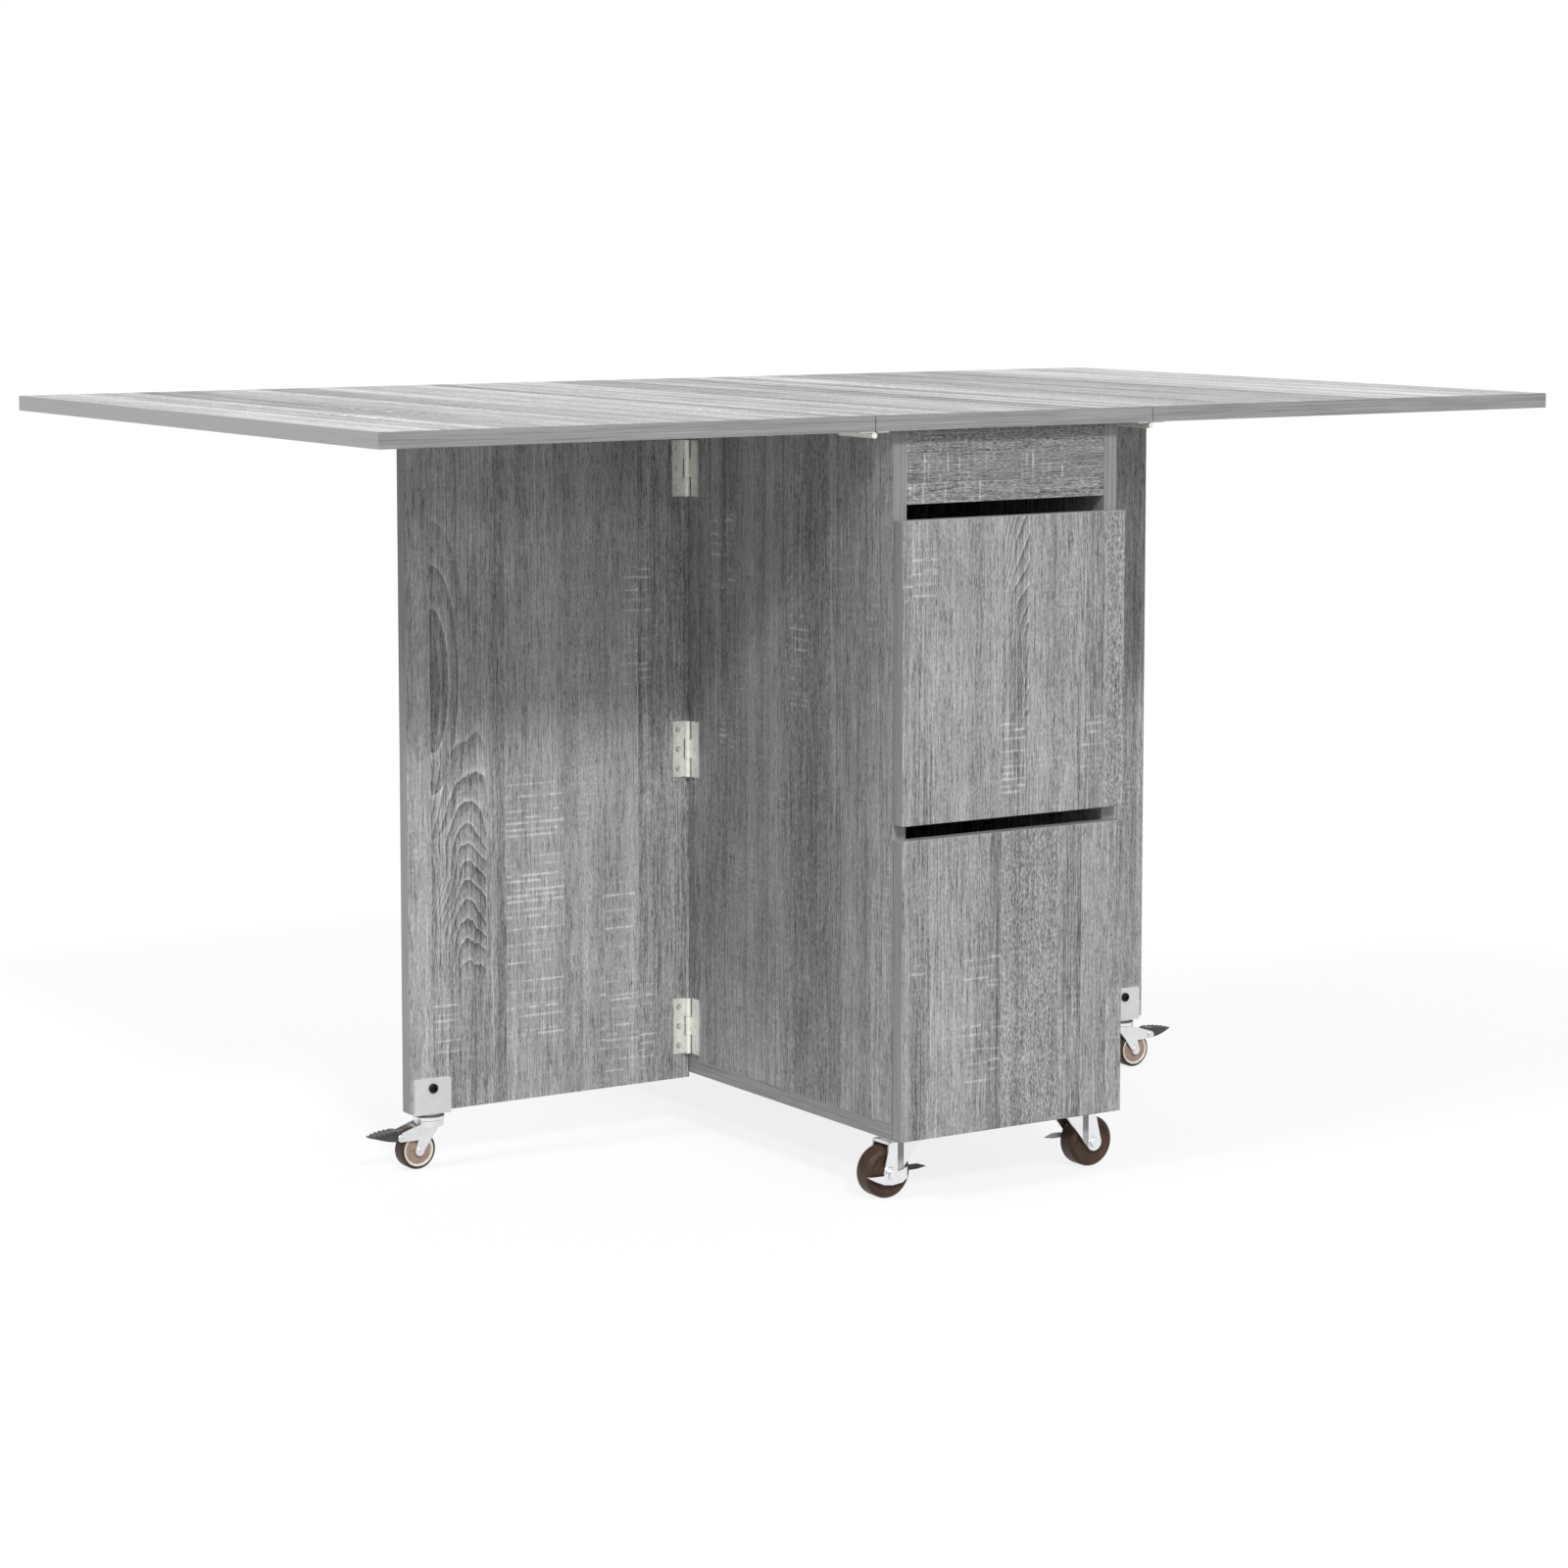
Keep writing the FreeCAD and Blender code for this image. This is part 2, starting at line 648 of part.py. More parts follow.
def cabinet_wheel():
    half = "cabinet_wheel_width / 2"
    floor = half + " - wheel_dish"
    one_face = [("axle_radius + running_clearance", half), ("wheel_hub_radius", half),
                ("wheel_hub_radius + wheel_dish", floor), ("wheel_rim_radius - wheel_dish", floor),
                ("wheel_rim_radius", half), ("cabinet_wheel_radius - wheel_tread_round", half),
                ("cabinet_wheel_radius", half + " - wheel_tread_round")]
    other_face = [(across, "-(%s)" % up) for across, up in reversed(one_face)]
    return turn_profile("cabinet_wheel", one_face + other_face)


def brake_lever():
    body = new_body("side_lever")
    hub = "cabinet_wheel_radius"
    blade = [("-lever_short", "0"),
             ("-lever_short * 2 / 3", "-lever_droop / 2"),
             ("-lever_short / 3", "-lever_droop * 7 / 8"),
             ("0", "-lever_droop"),
             ("lever_neck * 2 / 3", "-lever_droop * 7 / 8"),
             ("lever_neck", "-lever_droop / 2"),
             ("lever_neck", "lever_lift / 4"),
             ("lever_long * 3 / 4", "lever_lift / 4"),
             ("lever_long", "lever_lift / 2"),
             ("lever_long * 3 / 4", "lever_lift"),
             ("lever_long / 2", "lever_lift"),
             ("lever_neck * 2 / 3", "lever_lift / 2"),
             ("-lever_short / 3", "-lever_lift / 8")]
    corners = [("%s - cabinet_trail" % across, "%s + %s" % (hub, up)) for across, up in blade]
    pad(body, "XZ", corners, "lever_start", "lever_sheet")
    pad(body, "XZ", ("-cabinet_trail", hub, "lever_hub_radius"), "lever_start", "lever_sheet")
    hole = ("-cabinet_trail", hub, "axle_radius + running_clearance")
    pocket(body, "XZ", hole, "lever_start", "lever_sheet")
    return body


def cabinet_casters():
    plate, fork, wheel, lever = caster_plate(), cabinet_fork(), cabinet_wheel(), brake_lever()
    wheel_in_fork = place("wheel_in_fork", wheel, "-cabinet_trail", "0", "cabinet_wheel_radius")
    braked = group("braked_fork", [fork, axle_bolt("long_axle", "lever_end + lever_gap")])
    plain = group("plain_fork", [fork, axle_bolt("short_axle", "cabinet_leg_outer")])
    plates = []
    for corner, (x, y, turn) in CASTERS.items():
        plates.append(place(corner + "_plate", plate, x, y, "0", turn))
        has_brake = corner.startswith("front")
        fork_set = braked if has_brake else plain
        keep(place(corner + "_fork_set", fork_set, x, y, "0", turn), corner + "_caster_fork")
        keep(place(corner + "_wheel_set", wheel_in_fork, x, y, "0", turn), corner + "_caster_wheel")
        if has_brake:
            keep(place(corner + "_lever_set", lever, x, y, "0", turn), corner + "_brake_lever")
    keep(group("plates", plates), "caster_plates")


# Cabinet boards

DOWEL_SPOTS = ["carcase_front + dowel_inset", "(carcase_front + carcase_back) / 2",
               "carcase_back - dowel_inset"]


def dowels(name, spare):
    x, z = "board / 2 - half_cabinet", "side_bottom - dowel_depth - %s" % spare
    return [rod("%s_%d" % (name, index), "dowel_radius + " + spare, "dowel_length + 2 * " + spare, x, y, z)
            for index, y in enumerate(DOWEL_SPOTS)]


def cabinet_boards():
    dowel_holes = group("dowel_holes", dowels("dowel_hole", "dowel_clearance"))
    side = box("side_board", "-half_cabinet", "carcase_front", "side_bottom",
               "board", "carcase_depth", "side_height")
    left = cut("side_cut", side, [dowel_holes] + holes_at("side", SIDE_SCREWS, SHANK_TO_PLUS_X))
    keep(left, "left_side_panel")
    keep(mirror("side_right", left), "right_side_panel")
    bottom = box("bottom_board", "-half_cabinet", "carcase_front", "cabinet_clearance",
                 "cabinet_width", "carcase_depth", "board")
    plate_holes = [spot for x, y, turn in CASTERS.values() for spot in plate_screws(x, y)]
    drilled = [dowel_holes, mirror("dowel_holes_right", dowel_holes)]
    drilled += holes_at("bottom", plate_holes, SHANK_UP)
    keep(cut("bottom_cut", bottom, drilled), "bottom_panel")
    keep(box("back_board", "-half_inner", "carcase_back - board", "side_bottom",
             "2 * half_inner", "board", "side_height"), "back_panel")
    keep(box("rail_board", "-half_inner", "carcase_front", "rail_bottom",
             "2 * half_inner", "board", "rail_height"), "front_rail")
    keep(with_twins("dowel_set", dowels("dowel", "0")), "joining_dowels")
    screws = with_twins("hinge_screws", screws_at("side_screw", SIDE_SCREWS, SHANK_TO_PLUS_X)
                        + screws_at("centre_screw", CENTRE_SCREWS, SHANK_UP))
    keep(group("root_screws", [screws] + screws_at("plate_screw", plate_holes, SHANK_UP)), "cabinet_screws")


def angle_brackets():
    """Angles in the corner between the sides and the top."""
    body = new_body("angle")
    wall, ceiling = "half_inner", "top_underside"
    inner_wall, inner_ceiling = wall + " - angle_sheet", ceiling + " - angle_sheet"
    end_wall, end_ceiling = wall + " - angle_leg", ceiling + " - angle_leg"
    corners = [(wall, ceiling), (end_wall, ceiling), (end_wall, inner_ceiling),
               (inner_wall, inner_ceiling), (inner_wall, end_ceiling), (wall, end_ceiling)]
    pad(body, "XZ", corners, "-angle_width / 2", "angle_width")
    pair = [place("angle_front", body, y="-angle_spread / 2"),
            place("angle_rear", body, y="angle_spread / 2")]
    keep(with_twins("angles", pair), "top_angle_brackets")


# Drawers

DRAWERS = {"upper": "upper_front_bottom", "lower": "lower_front_bottom"}


def channel(name, wall, inward, middle, height, front, length):
    """A C-section rail along Y: its web on a wall, its flanges pointing inward (- or +)."""
    body = new_body(name)
    low, high = "%s - %s / 2" % (middle, height), "%s + %s / 2" % (middle, height)
    lip, web = "%s %s slide_flange" % (wall, inward), "%s %s slide_sheet" % (wall, inward)
    corners = [(wall, low), (lip, low), (lip, low + " + slide_sheet"), (web, low + " + slide_sheet"),
               (web, high + " - slide_sheet"), (lip, high + " - slide_sheet"), (lip, high), (wall, high)]
    pad(body, "XZ", corners, "-(%s) - (%s)" % (front, length), length)
    return body


def drawer(name, bottom):
    box_bottom = bottom + " + drawer_lift"
    inner_left, inner_width = "drawer_board - half_drawer", "2 * (half_drawer - drawer_board)"
    keep(box(name + "_front", "front_side_margin - half_cabinet", "front_face", bottom,
             "cabinet_width - 2 * front_side_margin", "board", "front_height"), name + "_drawer_front")
    side = box(name + "_side", "-half_drawer", "front_back", box_bottom,
               "drawer_board", "drawer_depth", "drawer_wall_height")
    keep(with_twins(name + "_sides", [side]), name + "_drawer_sides")
    keep(box(name + "_back", inner_left, "front_back + drawer_depth - drawer_board", box_bottom,
             inner_width, "drawer_board", "drawer_wall_height"), name + "_drawer_back")
    keep(box(name + "_floor", inner_left, "front_back", box_bottom + " + drawer_floor_lift",
             inner_width, "drawer_depth - drawer_board", "drawer_floor"), name + "_drawer_bottom")
    rail_middle = box_bottom + " + slide_rise"
    inner = channel(name + "_inner_rail", "half_drawer", "+", rail_middle, "inner_slide_height",
                    "front_back + slide_front_inset", "drawer_depth - slide_front_inset")
    keep(with_twins(name + "_inner_rails", [inner]), name + "_drawer_slides")
    return channel(name + "_outer_rail", "half_inner", "-", rail_middle, "slide_height",
                   "carcase_front + slide_front_inset", "drawer_depth - slide_front_inset")


def drawers():
    outer_rails = [drawer(name, bottom) for name, bottom in DRAWERS.items()]
    keep(with_twins("outer_rails", outer_rails), "cabinet_slide_rails")


# Gates and their feet

def gate_bolt():
    """Bolt through the bracket and the gate with its nut and its hole, drawn about the swivel axis."""
    height = "gate_clearance + bolt_rise"
    head_spot, nut_spot = ("0", "-bracket_half", height), ("0", "bracket_half", height)
    shank = rod("bolt_shank", "bolt_radius", "2 * bracket_half + nut_height", *head_spot, ROD_TO_PLUS_Y)
    bolt = cut("bolt", fuse("solid_bolt", [shank] + pan_head(height)), [hexagon_socket(height)])
    hole = rod("bolt_hole", "bolt_radius + bolt_clearance", "2 * bracket_half", *head_spot, ROD_TO_PLUS_Y)
    return group("bolt_and_nut", [bolt, nut("bolt_nut", "nut_radius", "bolt_radius", nut_spot)]), hole


def pan_head(height):
    """The bolt head: a short rim and a slope up to a flat face."""
    rim_height = "bolt_head_height - bolt_head_slope"
    rim = rod("bolt_rim", "bolt_head_radius", rim_height, "0", "-bracket_half", height, ROD_TO_MINUS_Y)
    slope = doc.addObject("Part::Cone", "bolt_slope")
    slope.Placement = FreeCAD.Placement(FreeCAD.Vector(), ROD_TO_MINUS_Y)
    bind(slope, Radius1="bolt_head_radius", Radius2="bolt_head_radius - bolt_head_slope")
    bind(slope, Height="bolt_head_slope", y="-bracket_half - (%s)" % rim_height, z=height)
    return [rim, slope]


def hexagon_socket(height):
    socket = doc.addObject("Part::Prism", "bolt_socket")
    socket.Polygon = 6
    socket.Placement = FreeCAD.Placement(FreeCAD.Vector(), ROD_TO_PLUS_Y)
    bind(socket, Circumradius="socket_radius", Height="socket_depth")
    return bind(socket, y="-bracket_half - bolt_head_height", z=height)


def foot_bracket(hole):
    """A U of sheet that takes the foot of the gate."""
    body = new_body("foot_bracket")
    inner, outer = "board / 2", "bracket_half"
    corners = [("-" + outer, "bracket_top"), ("-" + outer, "bracket_bottom"),
               (outer, "bracket_bottom"), (outer, "bracket_top"),
               (inner, "bracket_top"), (inner, "gate_clearance"),
               ("-" + inner, "gate_clearance"), ("-" + inner, "bracket_top")]
    profile = pad(body, "YZ", corners, "-bracket_width / 2", "bracket_width")
    doc.recompute()
    rounded = body.newObject("PartDesign::Fillet", "foot_bracket_corners")
    rounded.Base = (profile, upper_corner_edges(profile.Shape))
    bind(rounded, Radius="bracket_corner")
    pin_hole = (*ORIGIN_CIRCLE, "kingpin_radius + seat_clearance")
    pocket(body, "XY", pin_hole, "bracket_bottom", "bracket_sheet")
    return cut("drilled_bracket", body, [hole])


def upper_corner_edges(shape):
    """Edges that run through the sheet at the upper corners of both plates."""
    top, half_width = number("bracket_top"), number("bracket_width / 2")
    chosen = []
    for index, edge in enumerate(shape.Edges, start=1):
        middle = edge.CenterOfMass
        at_corner = abs(middle.z - top) < 0.01 and abs(abs(middle.x) - half_width) < 0.01
        if at_corner:
            chosen.append("Edge%d" % index)
    return chosen


def swivel_head():
    body = new_body("swivel_head")
    neck_bottom = "bracket_bottom - gate_neck_height"
    ring_height = "gate_head_height - gate_neck_height"
    pad(body, "XY", (*ORIGIN_CIRCLE, "gate_head_radius"), "gate_head_bottom", ring_height)
    pad(body, "XY", (*ORIGIN_CIRCLE, "gate_neck_radius"), neck_bottom, "gate_neck_height")
    kingpin(body, "gate_crown_bottom", "gate_clearance")
    return body


def gate_fork():
    body = new_body("gate_fork")
    pad(body, "XY", (*ORIGIN_CIRCLE, "gate_crown_radius"), "gate_crown_bottom", "gate_crown_height")
    hub = "gate_wheel_radius"
    leg = [("gate_leg_front", "gate_leg_top"), ("gate_boss_radius - gate_trail", hub),
           ("-gate_boss_radius - gate_trail", hub), ("-gate_leg_rear", "gate_leg_top")]
    horn = [("horn_radius - gate_leg_rear", "gate_leg_top"), ("-horn_reach", "horn_height + horn_radius"),
            ("-horn_reach", "horn_height - horn_radius"), ("-gate_trail", "horn_height - horn_radius")]
    for start in ("gate_leg_inner", "-gate_leg_outer"):
        for outline in (leg, horn, ("-gate_trail", hub, "gate_boss_radius"),
                        ("-horn_reach", "horn_height", "horn_radius")):
            pad(body, "XZ", outline, start, "gate_fork_sheet")
    for hole in (("-gate_trail", hub, "gate_axle_radius + seat_clearance"),
                 ("-horn_reach", "horn_height", "pedal_pin_radius + seat_clearance")):
        pocket(body, "XZ", hole, "-gate_leg_outer", "2 * gate_leg_outer")
    pin_hole = (*ORIGIN_CIRCLE, "kingpin_radius + running_clearance")
    pocket(body, "XY", pin_hole, "gate_crown_bottom", "gate_crown_height")
    return body


def rivet(name, across, height, radius):
    """A rivet through both legs with a head on each."""
    body = new_body(name)
    pad(body, "XZ", (across, height, radius), "-gate_leg_outer", "2 * gate_leg_outer")
    for start in ("gate_leg_outer", "-gate_leg_outer - rivet_head_height"):
        pad(body, "XZ", (across, height, "rivet_head_radius"), start, "rivet_head_height")
    dimple = (across, height, "rivet_dimple_radius")
    for start in ("gate_leg_outer + rivet_head_height - rivet_dimple_depth",
                  "-gate_leg_outer - rivet_head_height"):
        pocket(body, "XZ", dimple, start, "rivet_dimple_depth")
    return body


def gate_hub():
    half = "gate_wheel_width / 2"
    floor = half + " - gate_hub_dish"
    one_face = [("gate_axle_radius + running_clearance", half), ("gate_boss_radius", half),
                ("gate_boss_radius + gate_hub_dish", floor), ("gate_hub_radius - 2 * gate_hub_dish", floor),
                ("gate_hub_radius - gate_hub_dish", half), ("gate_hub_radius", half)]
    other_face = [(across, "-(%s)" % up) for across, up in reversed(one_face)]
    return turn_profile("gate_hub", one_face + other_face)


def gate_tread():
    half = "gate_wheel_width / 2"
    one_face = [("gate_hub_radius + seat_clearance", half), ("gate_wheel_radius - gate_tread_round", half),
                ("gate_wheel_radius", half + " - gate_tread_round")]
    other_face = [(across, "-(%s)" % up) for across, up in reversed(one_face)]
    return turn_profile("gate_tread", one_face + other_face)


def brake_pedal():
    body = new_body("brake_pedal")
    half = "(gate_leg_inner - pedal_side_gap)"
    pivot = "horn_height"
    corners = [("horn_radius - horn_reach", pivot), ("-horn_radius - horn_reach", pivot + " + pedal_rise"),
               ("pedal_rise - pedal_reach", pivot + " + pedal_rise - pedal_tip_height / 2"),
               ("-pedal_reach", pivot + " + pedal_drop"),
               ("-pedal_reach", pivot + " + pedal_drop - pedal_tip_height"),
               ("-pedal_rise - horn_radius - horn_reach", pivot + " - pedal_drop"),
               ("-horn_reach", pivot + " - pedal_drop")]
    pad(body, "XZ", corners, "-" + half, "2 * " + half)
    hole = ("-horn_reach", pivot, "pedal_pin_radius + running_clearance")
    pocket(body, "XZ", hole, "-" + half, "2 * " + half)
    return body


def gates():
    bolt, bolt_hole = gate_bolt()
    axle_rivet = rivet("axle_rivet", "-gate_trail", "gate_wheel_radius", "gate_axle_radius")
    pedal_rivet = rivet("pedal_rivet", "-horn_reach", "horn_height", "pedal_pin_radius")
    fork = group("gate_fork_set", [gate_fork(), axle_rivet, pedal_rivet])
    wheel_place = ("-gate_trail", "0", "gate_wheel_radius")
    foot = {
        "bracket": foot_bracket(bolt_hole),
        "swivel_head": swivel_head(),
        "caster_fork": fork,
        "caster_hub": place("hub_in_fork", gate_hub(), *wheel_place),
        "caster_tyre": place("tread_in_fork", gate_tread(), *wheel_place),
        "caster_pedal": brake_pedal(),
    }
    panel = box("gate_board", "-gate_root - gate_length", "gate_front", "gate_clearance",
                "gate_length", "board", "gate_height")
    spot = ("-gate_foot_x", "-gate_setback", "0")
    holes = holes_at("gate", GATE_SCREWS, SHANK_TO_PLUS_Y) + [place("bolt_hole_left", bolt_hole, *spot)]
    left = cut("gate_cut", panel, holes)
    keep(left, "left_gate_panel")
    keep(mirror("gate_right", left), "right_gate_panel")
    fasteners = group("gate_fasteners", screws_at("gate_screw", GATE_SCREWS, SHANK_TO_PLUS_Y)
                      + [place("bolt_left", bolt, *spot)])
    keep(fasteners, "left_gate_fasteners")
    keep(mirror("gate_fasteners_right", fasteners), "right_gate_fasteners")
    for side, x, turn in (("left", "-gate_foot_x", UPRIGHT), ("right", "gate_foot_x", HALF_TURN)):
        for piece, master in foot.items():
            copy = place("%s_%s" % (side, piece), master, x, "-gate_setback", "0", turn)
            keep(copy, "%s_gate_%s" % (side, piece))


def check_and_export():
    """Stop if anything failed, then write each sub-part to a file of its own."""
    doc.recompute()
    failed = [item.Label for item in doc.Objects if "Invalid" in item.State or "Error" in item.State]
    failed += [item.Label for item in nodes if item.Shape.isNull() or not item.Shape.isValid()]
    if failed:
        raise RuntimeError("These pieces failed: " + ", ".join(failed))
    os.makedirs("parts", exist_ok=True)
    for item in nodes:
        item.Shape.exportStep("parts/%s.step" % item.Label)
        print("%-28s %3d solids %12.1f mm3" % (item.Label, len(item.Shape.Solids), item.Shape.Volume))
    print(len(nodes), "nodes")


top_boards()
cabinet_boards()
angle_brackets()
drawers()
cabinet_casters()
gates()
check_and_export()
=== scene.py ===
"""Folding dining table on casters: finishes, brake pedals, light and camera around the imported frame.

All lengths are in metres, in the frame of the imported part: X to the right, Y to the back, Z up.
"""

import json
import math
import random

import bmesh
import bpy
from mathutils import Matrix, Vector


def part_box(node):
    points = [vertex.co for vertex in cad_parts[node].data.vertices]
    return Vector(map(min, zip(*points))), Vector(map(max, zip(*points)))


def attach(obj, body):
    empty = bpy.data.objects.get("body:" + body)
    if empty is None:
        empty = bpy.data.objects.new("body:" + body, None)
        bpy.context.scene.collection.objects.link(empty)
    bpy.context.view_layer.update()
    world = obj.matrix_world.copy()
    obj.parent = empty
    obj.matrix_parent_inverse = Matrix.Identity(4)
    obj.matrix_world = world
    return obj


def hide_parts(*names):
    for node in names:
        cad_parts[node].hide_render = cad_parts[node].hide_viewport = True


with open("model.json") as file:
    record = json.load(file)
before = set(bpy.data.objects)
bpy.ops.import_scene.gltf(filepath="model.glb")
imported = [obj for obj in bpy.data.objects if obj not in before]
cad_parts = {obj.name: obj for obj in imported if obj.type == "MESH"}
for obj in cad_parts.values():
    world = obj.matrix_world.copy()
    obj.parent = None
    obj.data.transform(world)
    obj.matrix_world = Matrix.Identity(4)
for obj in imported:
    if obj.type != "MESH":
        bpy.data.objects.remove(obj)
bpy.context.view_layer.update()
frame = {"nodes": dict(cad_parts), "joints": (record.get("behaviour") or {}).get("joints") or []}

X, Y, Z = 0, 1, 2
MM = 0.001

# Pieces that come in pairs and in fours, and the places that they turn about
SIDES = {"left": -1.0, "right": 1.0}
CORNERS = ("front_left", "front_right", "rear_left", "rear_right")
PIVOTS = {joint["name"]: Vector(joint["pos_m"]) for joint in frame["joints"] if joint.get("pos_m")}

# Camera of the photograph
CAMERA_PLACE = Vector((-2.262, -3.504, 0.942))
CAMERA_YAW = 0.5723
CAMERA_PITCH = 0.1033
CAMERA_REACH = 200.0
FRAME_WIDTHS_OF_FOCUS = 2.5887
CAMERA_SHIFT = -0.1
SENSOR_MM = 36.0

# Floor and surrounding light
FLOOR_HALF = 60.0
FLOOR_DROP = 0.2 * MM
FLOOR_GLOW = 0.84
FLOOR_PAINT = 0.16
FLOOR_BOUNCE = 0.40
WORLD_LIGHT = 0.43

# Far soft lamps: direction towards the lamp, its light on a surface that faces it, its width in degrees
LAMP_DISTANCE = 4.0
LAMPS = {
    "key": ((-0.20, -0.76, 0.628), 0.465, 8.0),
    "left_softbox": ((-0.64, -0.02, 0.75), 0.42, 17.0),
    "low_front": ((-0.10, -0.97, 0.24), 0.055, 5.0),
    "back_right": ((0.60, 0.45, 0.66), 0.12, 40.0),
}

# Colour sockets of the mix node, which shares its socket names among kinds of data
MIX_FIRST_COLOUR = 6
MIX_SECOND_COLOUR = 7
MIX_COLOUR = 2

# Part of a noise's range from 0 to 1 that most of its values lie in
NOISE_SPAN = (0.3, 0.7)
WIDE_NOISE_SPAN = (0.25, 0.75)


def grey(value):
    return (value, value, value)


def even(rate):
    """The same rate along all three axes."""
    return (rate, rate, rate)


def opaque(colour):
    return (*colour, 1.0)


class Recipe:
    """The node tree of one material, with a short method for each kind of node."""

    def __init__(self, name):
        self.material = bpy.data.materials.new(name)
        self.material.use_nodes = True
        self.tree = self.material.node_tree
        self.shader = self.tree.nodes["Principled BSDF"]
        source = self.tree.nodes.new("ShaderNodeTexCoord")
        self.place = source.outputs["Object"]
        self.facing = source.outputs["Normal"]

    def feed(self, socket, value):
        """Links a socket to another node's result, or sets it to a fixed value."""
        if isinstance(value, bpy.types.NodeSocket):
            self.tree.links.new(value, socket)
        else:
            socket.default_value = value

    def set(self, **inputs):
        """Sets inputs of the main shader; a word's underscores stand for spaces."""
        for word, value in inputs.items():
            self.feed(self.shader.inputs[word.replace("_", " ")], value)

    def math(self, operation, first, second=0.0):
        node = self.tree.nodes.new("ShaderNodeMath")
        node.operation = operation
        self.feed(node.inputs[0], first)
        self.feed(node.inputs[1], second)
        return node.outputs[0]

    def times(self, value, factor):
        return self.math("MULTIPLY", value, factor)

    def plus(self, *values):
        result = values[0]
        for value in values[1:]:
            result = self.math("ADD", result, value)
        return result

    def spread(self, value, low, high):
        """Goes from the low to the high number as the value goes from 0 to 1."""
        return self.plus(self.times(value, high - low), low)

    def swing(self, value, share):
        """How far a value from 0 to 1 lies from its middle, times a share."""
        return self.times(self.plus(value, -0.5), share)

    def mix(self, first, second, share):
        """Two values in one, with the given share of the second."""
        return self.plus(self.times(first, 1.0 - share), self.times(second, share))

    def split(self, vector):
        node = self.tree.nodes.new("ShaderNodeSeparateXYZ")
        self.feed(node.inputs[0], vector)
        return list(node.outputs)

    def join(self, *parts):
        node = self.tree.nodes.new("ShaderNodeCombineXYZ")
        for socket, value in zip(node.inputs, parts):
            self.feed(socket, value)
        return node.outputs[0]

    def noise(self, vector, rates, detail=2.0, roughness=0.5):
        """Soft noise from 0 to 1 that varies so many times a metre along each axis."""
        node = self.tree.nodes.new("ShaderNodeVectorMath")
        node.operation = "MULTIPLY"
        self.feed(node.inputs[0], vector)
        node.inputs[1].default_value = rates
        cloud = self.tree.nodes.new("ShaderNodeTexNoise")
        cloud.inputs["Scale"].default_value = 1.0
        cloud.inputs["Detail"].default_value = detail
        cloud.inputs["Roughness"].default_value = roughness
        self.feed(cloud.inputs["Vector"], node.outputs[0])
        return cloud.outputs["Fac"]

    def step(self, value, low, high):
        """A smooth step from 0 at the low value to 1 at the high one."""
        node = self.tree.nodes.new("ShaderNodeMapRange")
        node.interpolation_type = "SMOOTHSTEP"
        self.feed(node.inputs["Value"], value)
        node.inputs["From Min"].default_value = low
        node.inputs["From Max"].default_value = high
        return node.outputs["Result"]

    def within(self, value, low, high, edge):
        """1 between two limits and 0 outside them, with a soft edge."""
        above = self.step(value, low - edge, low + edge)
        below = self.step(value, high + edge, high - edge)
        return self.times(above, below)

    def ramp(self, value, *stops, hard=False):
        """A colour for each value; each stop is its place and its colour."""
        node = self.tree.nodes.new("ShaderNodeValToRGB")
        if hard:
            node.color_ramp.interpolation = "CONSTANT"
        elements = node.color_ramp.elements
        while len(elements) < len(stops):
            elements.new(0.5)
        for element, (place, colour) in zip(elements, stops):
            element.position = place
            element.color = opaque(colour)
        self.feed(node.inputs[0], value)
        return node.outputs["Color"]

    def two_tone(self, value, dark, light, span=NOISE_SPAN):
        """Goes from the dark to the light colour over a span of values."""
        low, high = span
        return self.ramp(value, (low, dark), (high, light))

    def blend(self, share, first, second):
        """Goes from the first colour to the second with the share."""
        node = self.tree.nodes.new("ShaderNodeMix")
        node.data_type = "RGBA"
        self.feed(node.inputs["Factor"], share)
        self.feed(node.inputs[MIX_FIRST_COLOUR], first)
        self.feed(node.inputs[MIX_SECOND_COLOUR], second)
        return node.outputs[MIX_COLOUR]

    def cells(self, line):
        """Cuts a line into uneven cells.

        Gives the way from the nearest cell's middle, a random number for that cell, and its middle.
        """
        node = self.tree.nodes.new("ShaderNodeTexVoronoi")
        node.voronoi_dimensions = "1D"
        node.inputs["Scale"].default_value = 1.0
        self.feed(node.inputs["W"], line)
        chance = self.split(node.outputs["Color"])[0]
        return node.outputs["Distance"], chance, node.outputs["W"]

    def bump(self, height, depth, strength):
        node = self.tree.nodes.new("ShaderNodeBump")
        node.inputs["Strength"].default_value = strength
        node.inputs["Distance"].default_value = depth
        self.feed(node.inputs["Height"], height)
        self.feed(self.shader.inputs["Normal"], node.outputs["Normal"])


# Grey oak print: strips side by side, with arches and lenses of growth rings and patches of pale saw ticks

# Ranges for boards whose figures are scattered by dice
MOST_STRIPS = 30
STRIP_WIDTHS = (0.022, 0.075)
STRIP_SHADES = (0.30, 0.70)
STRIP_SPECKLES = (0.0, 0.1, 0.2, 0.8)
STRIP_LINES = (0.2, 0.9)
TICKED_STRIPS = 0.5
PATCH_LENGTHS = (0.04, 0.16)
ARCHED_STRIPS = 0.2
ARCH_BEND = 1200.0
ARCH_PITCHES = (0.026, 0.042)
ARCH_LENGTHS = (0.12, 0.30)

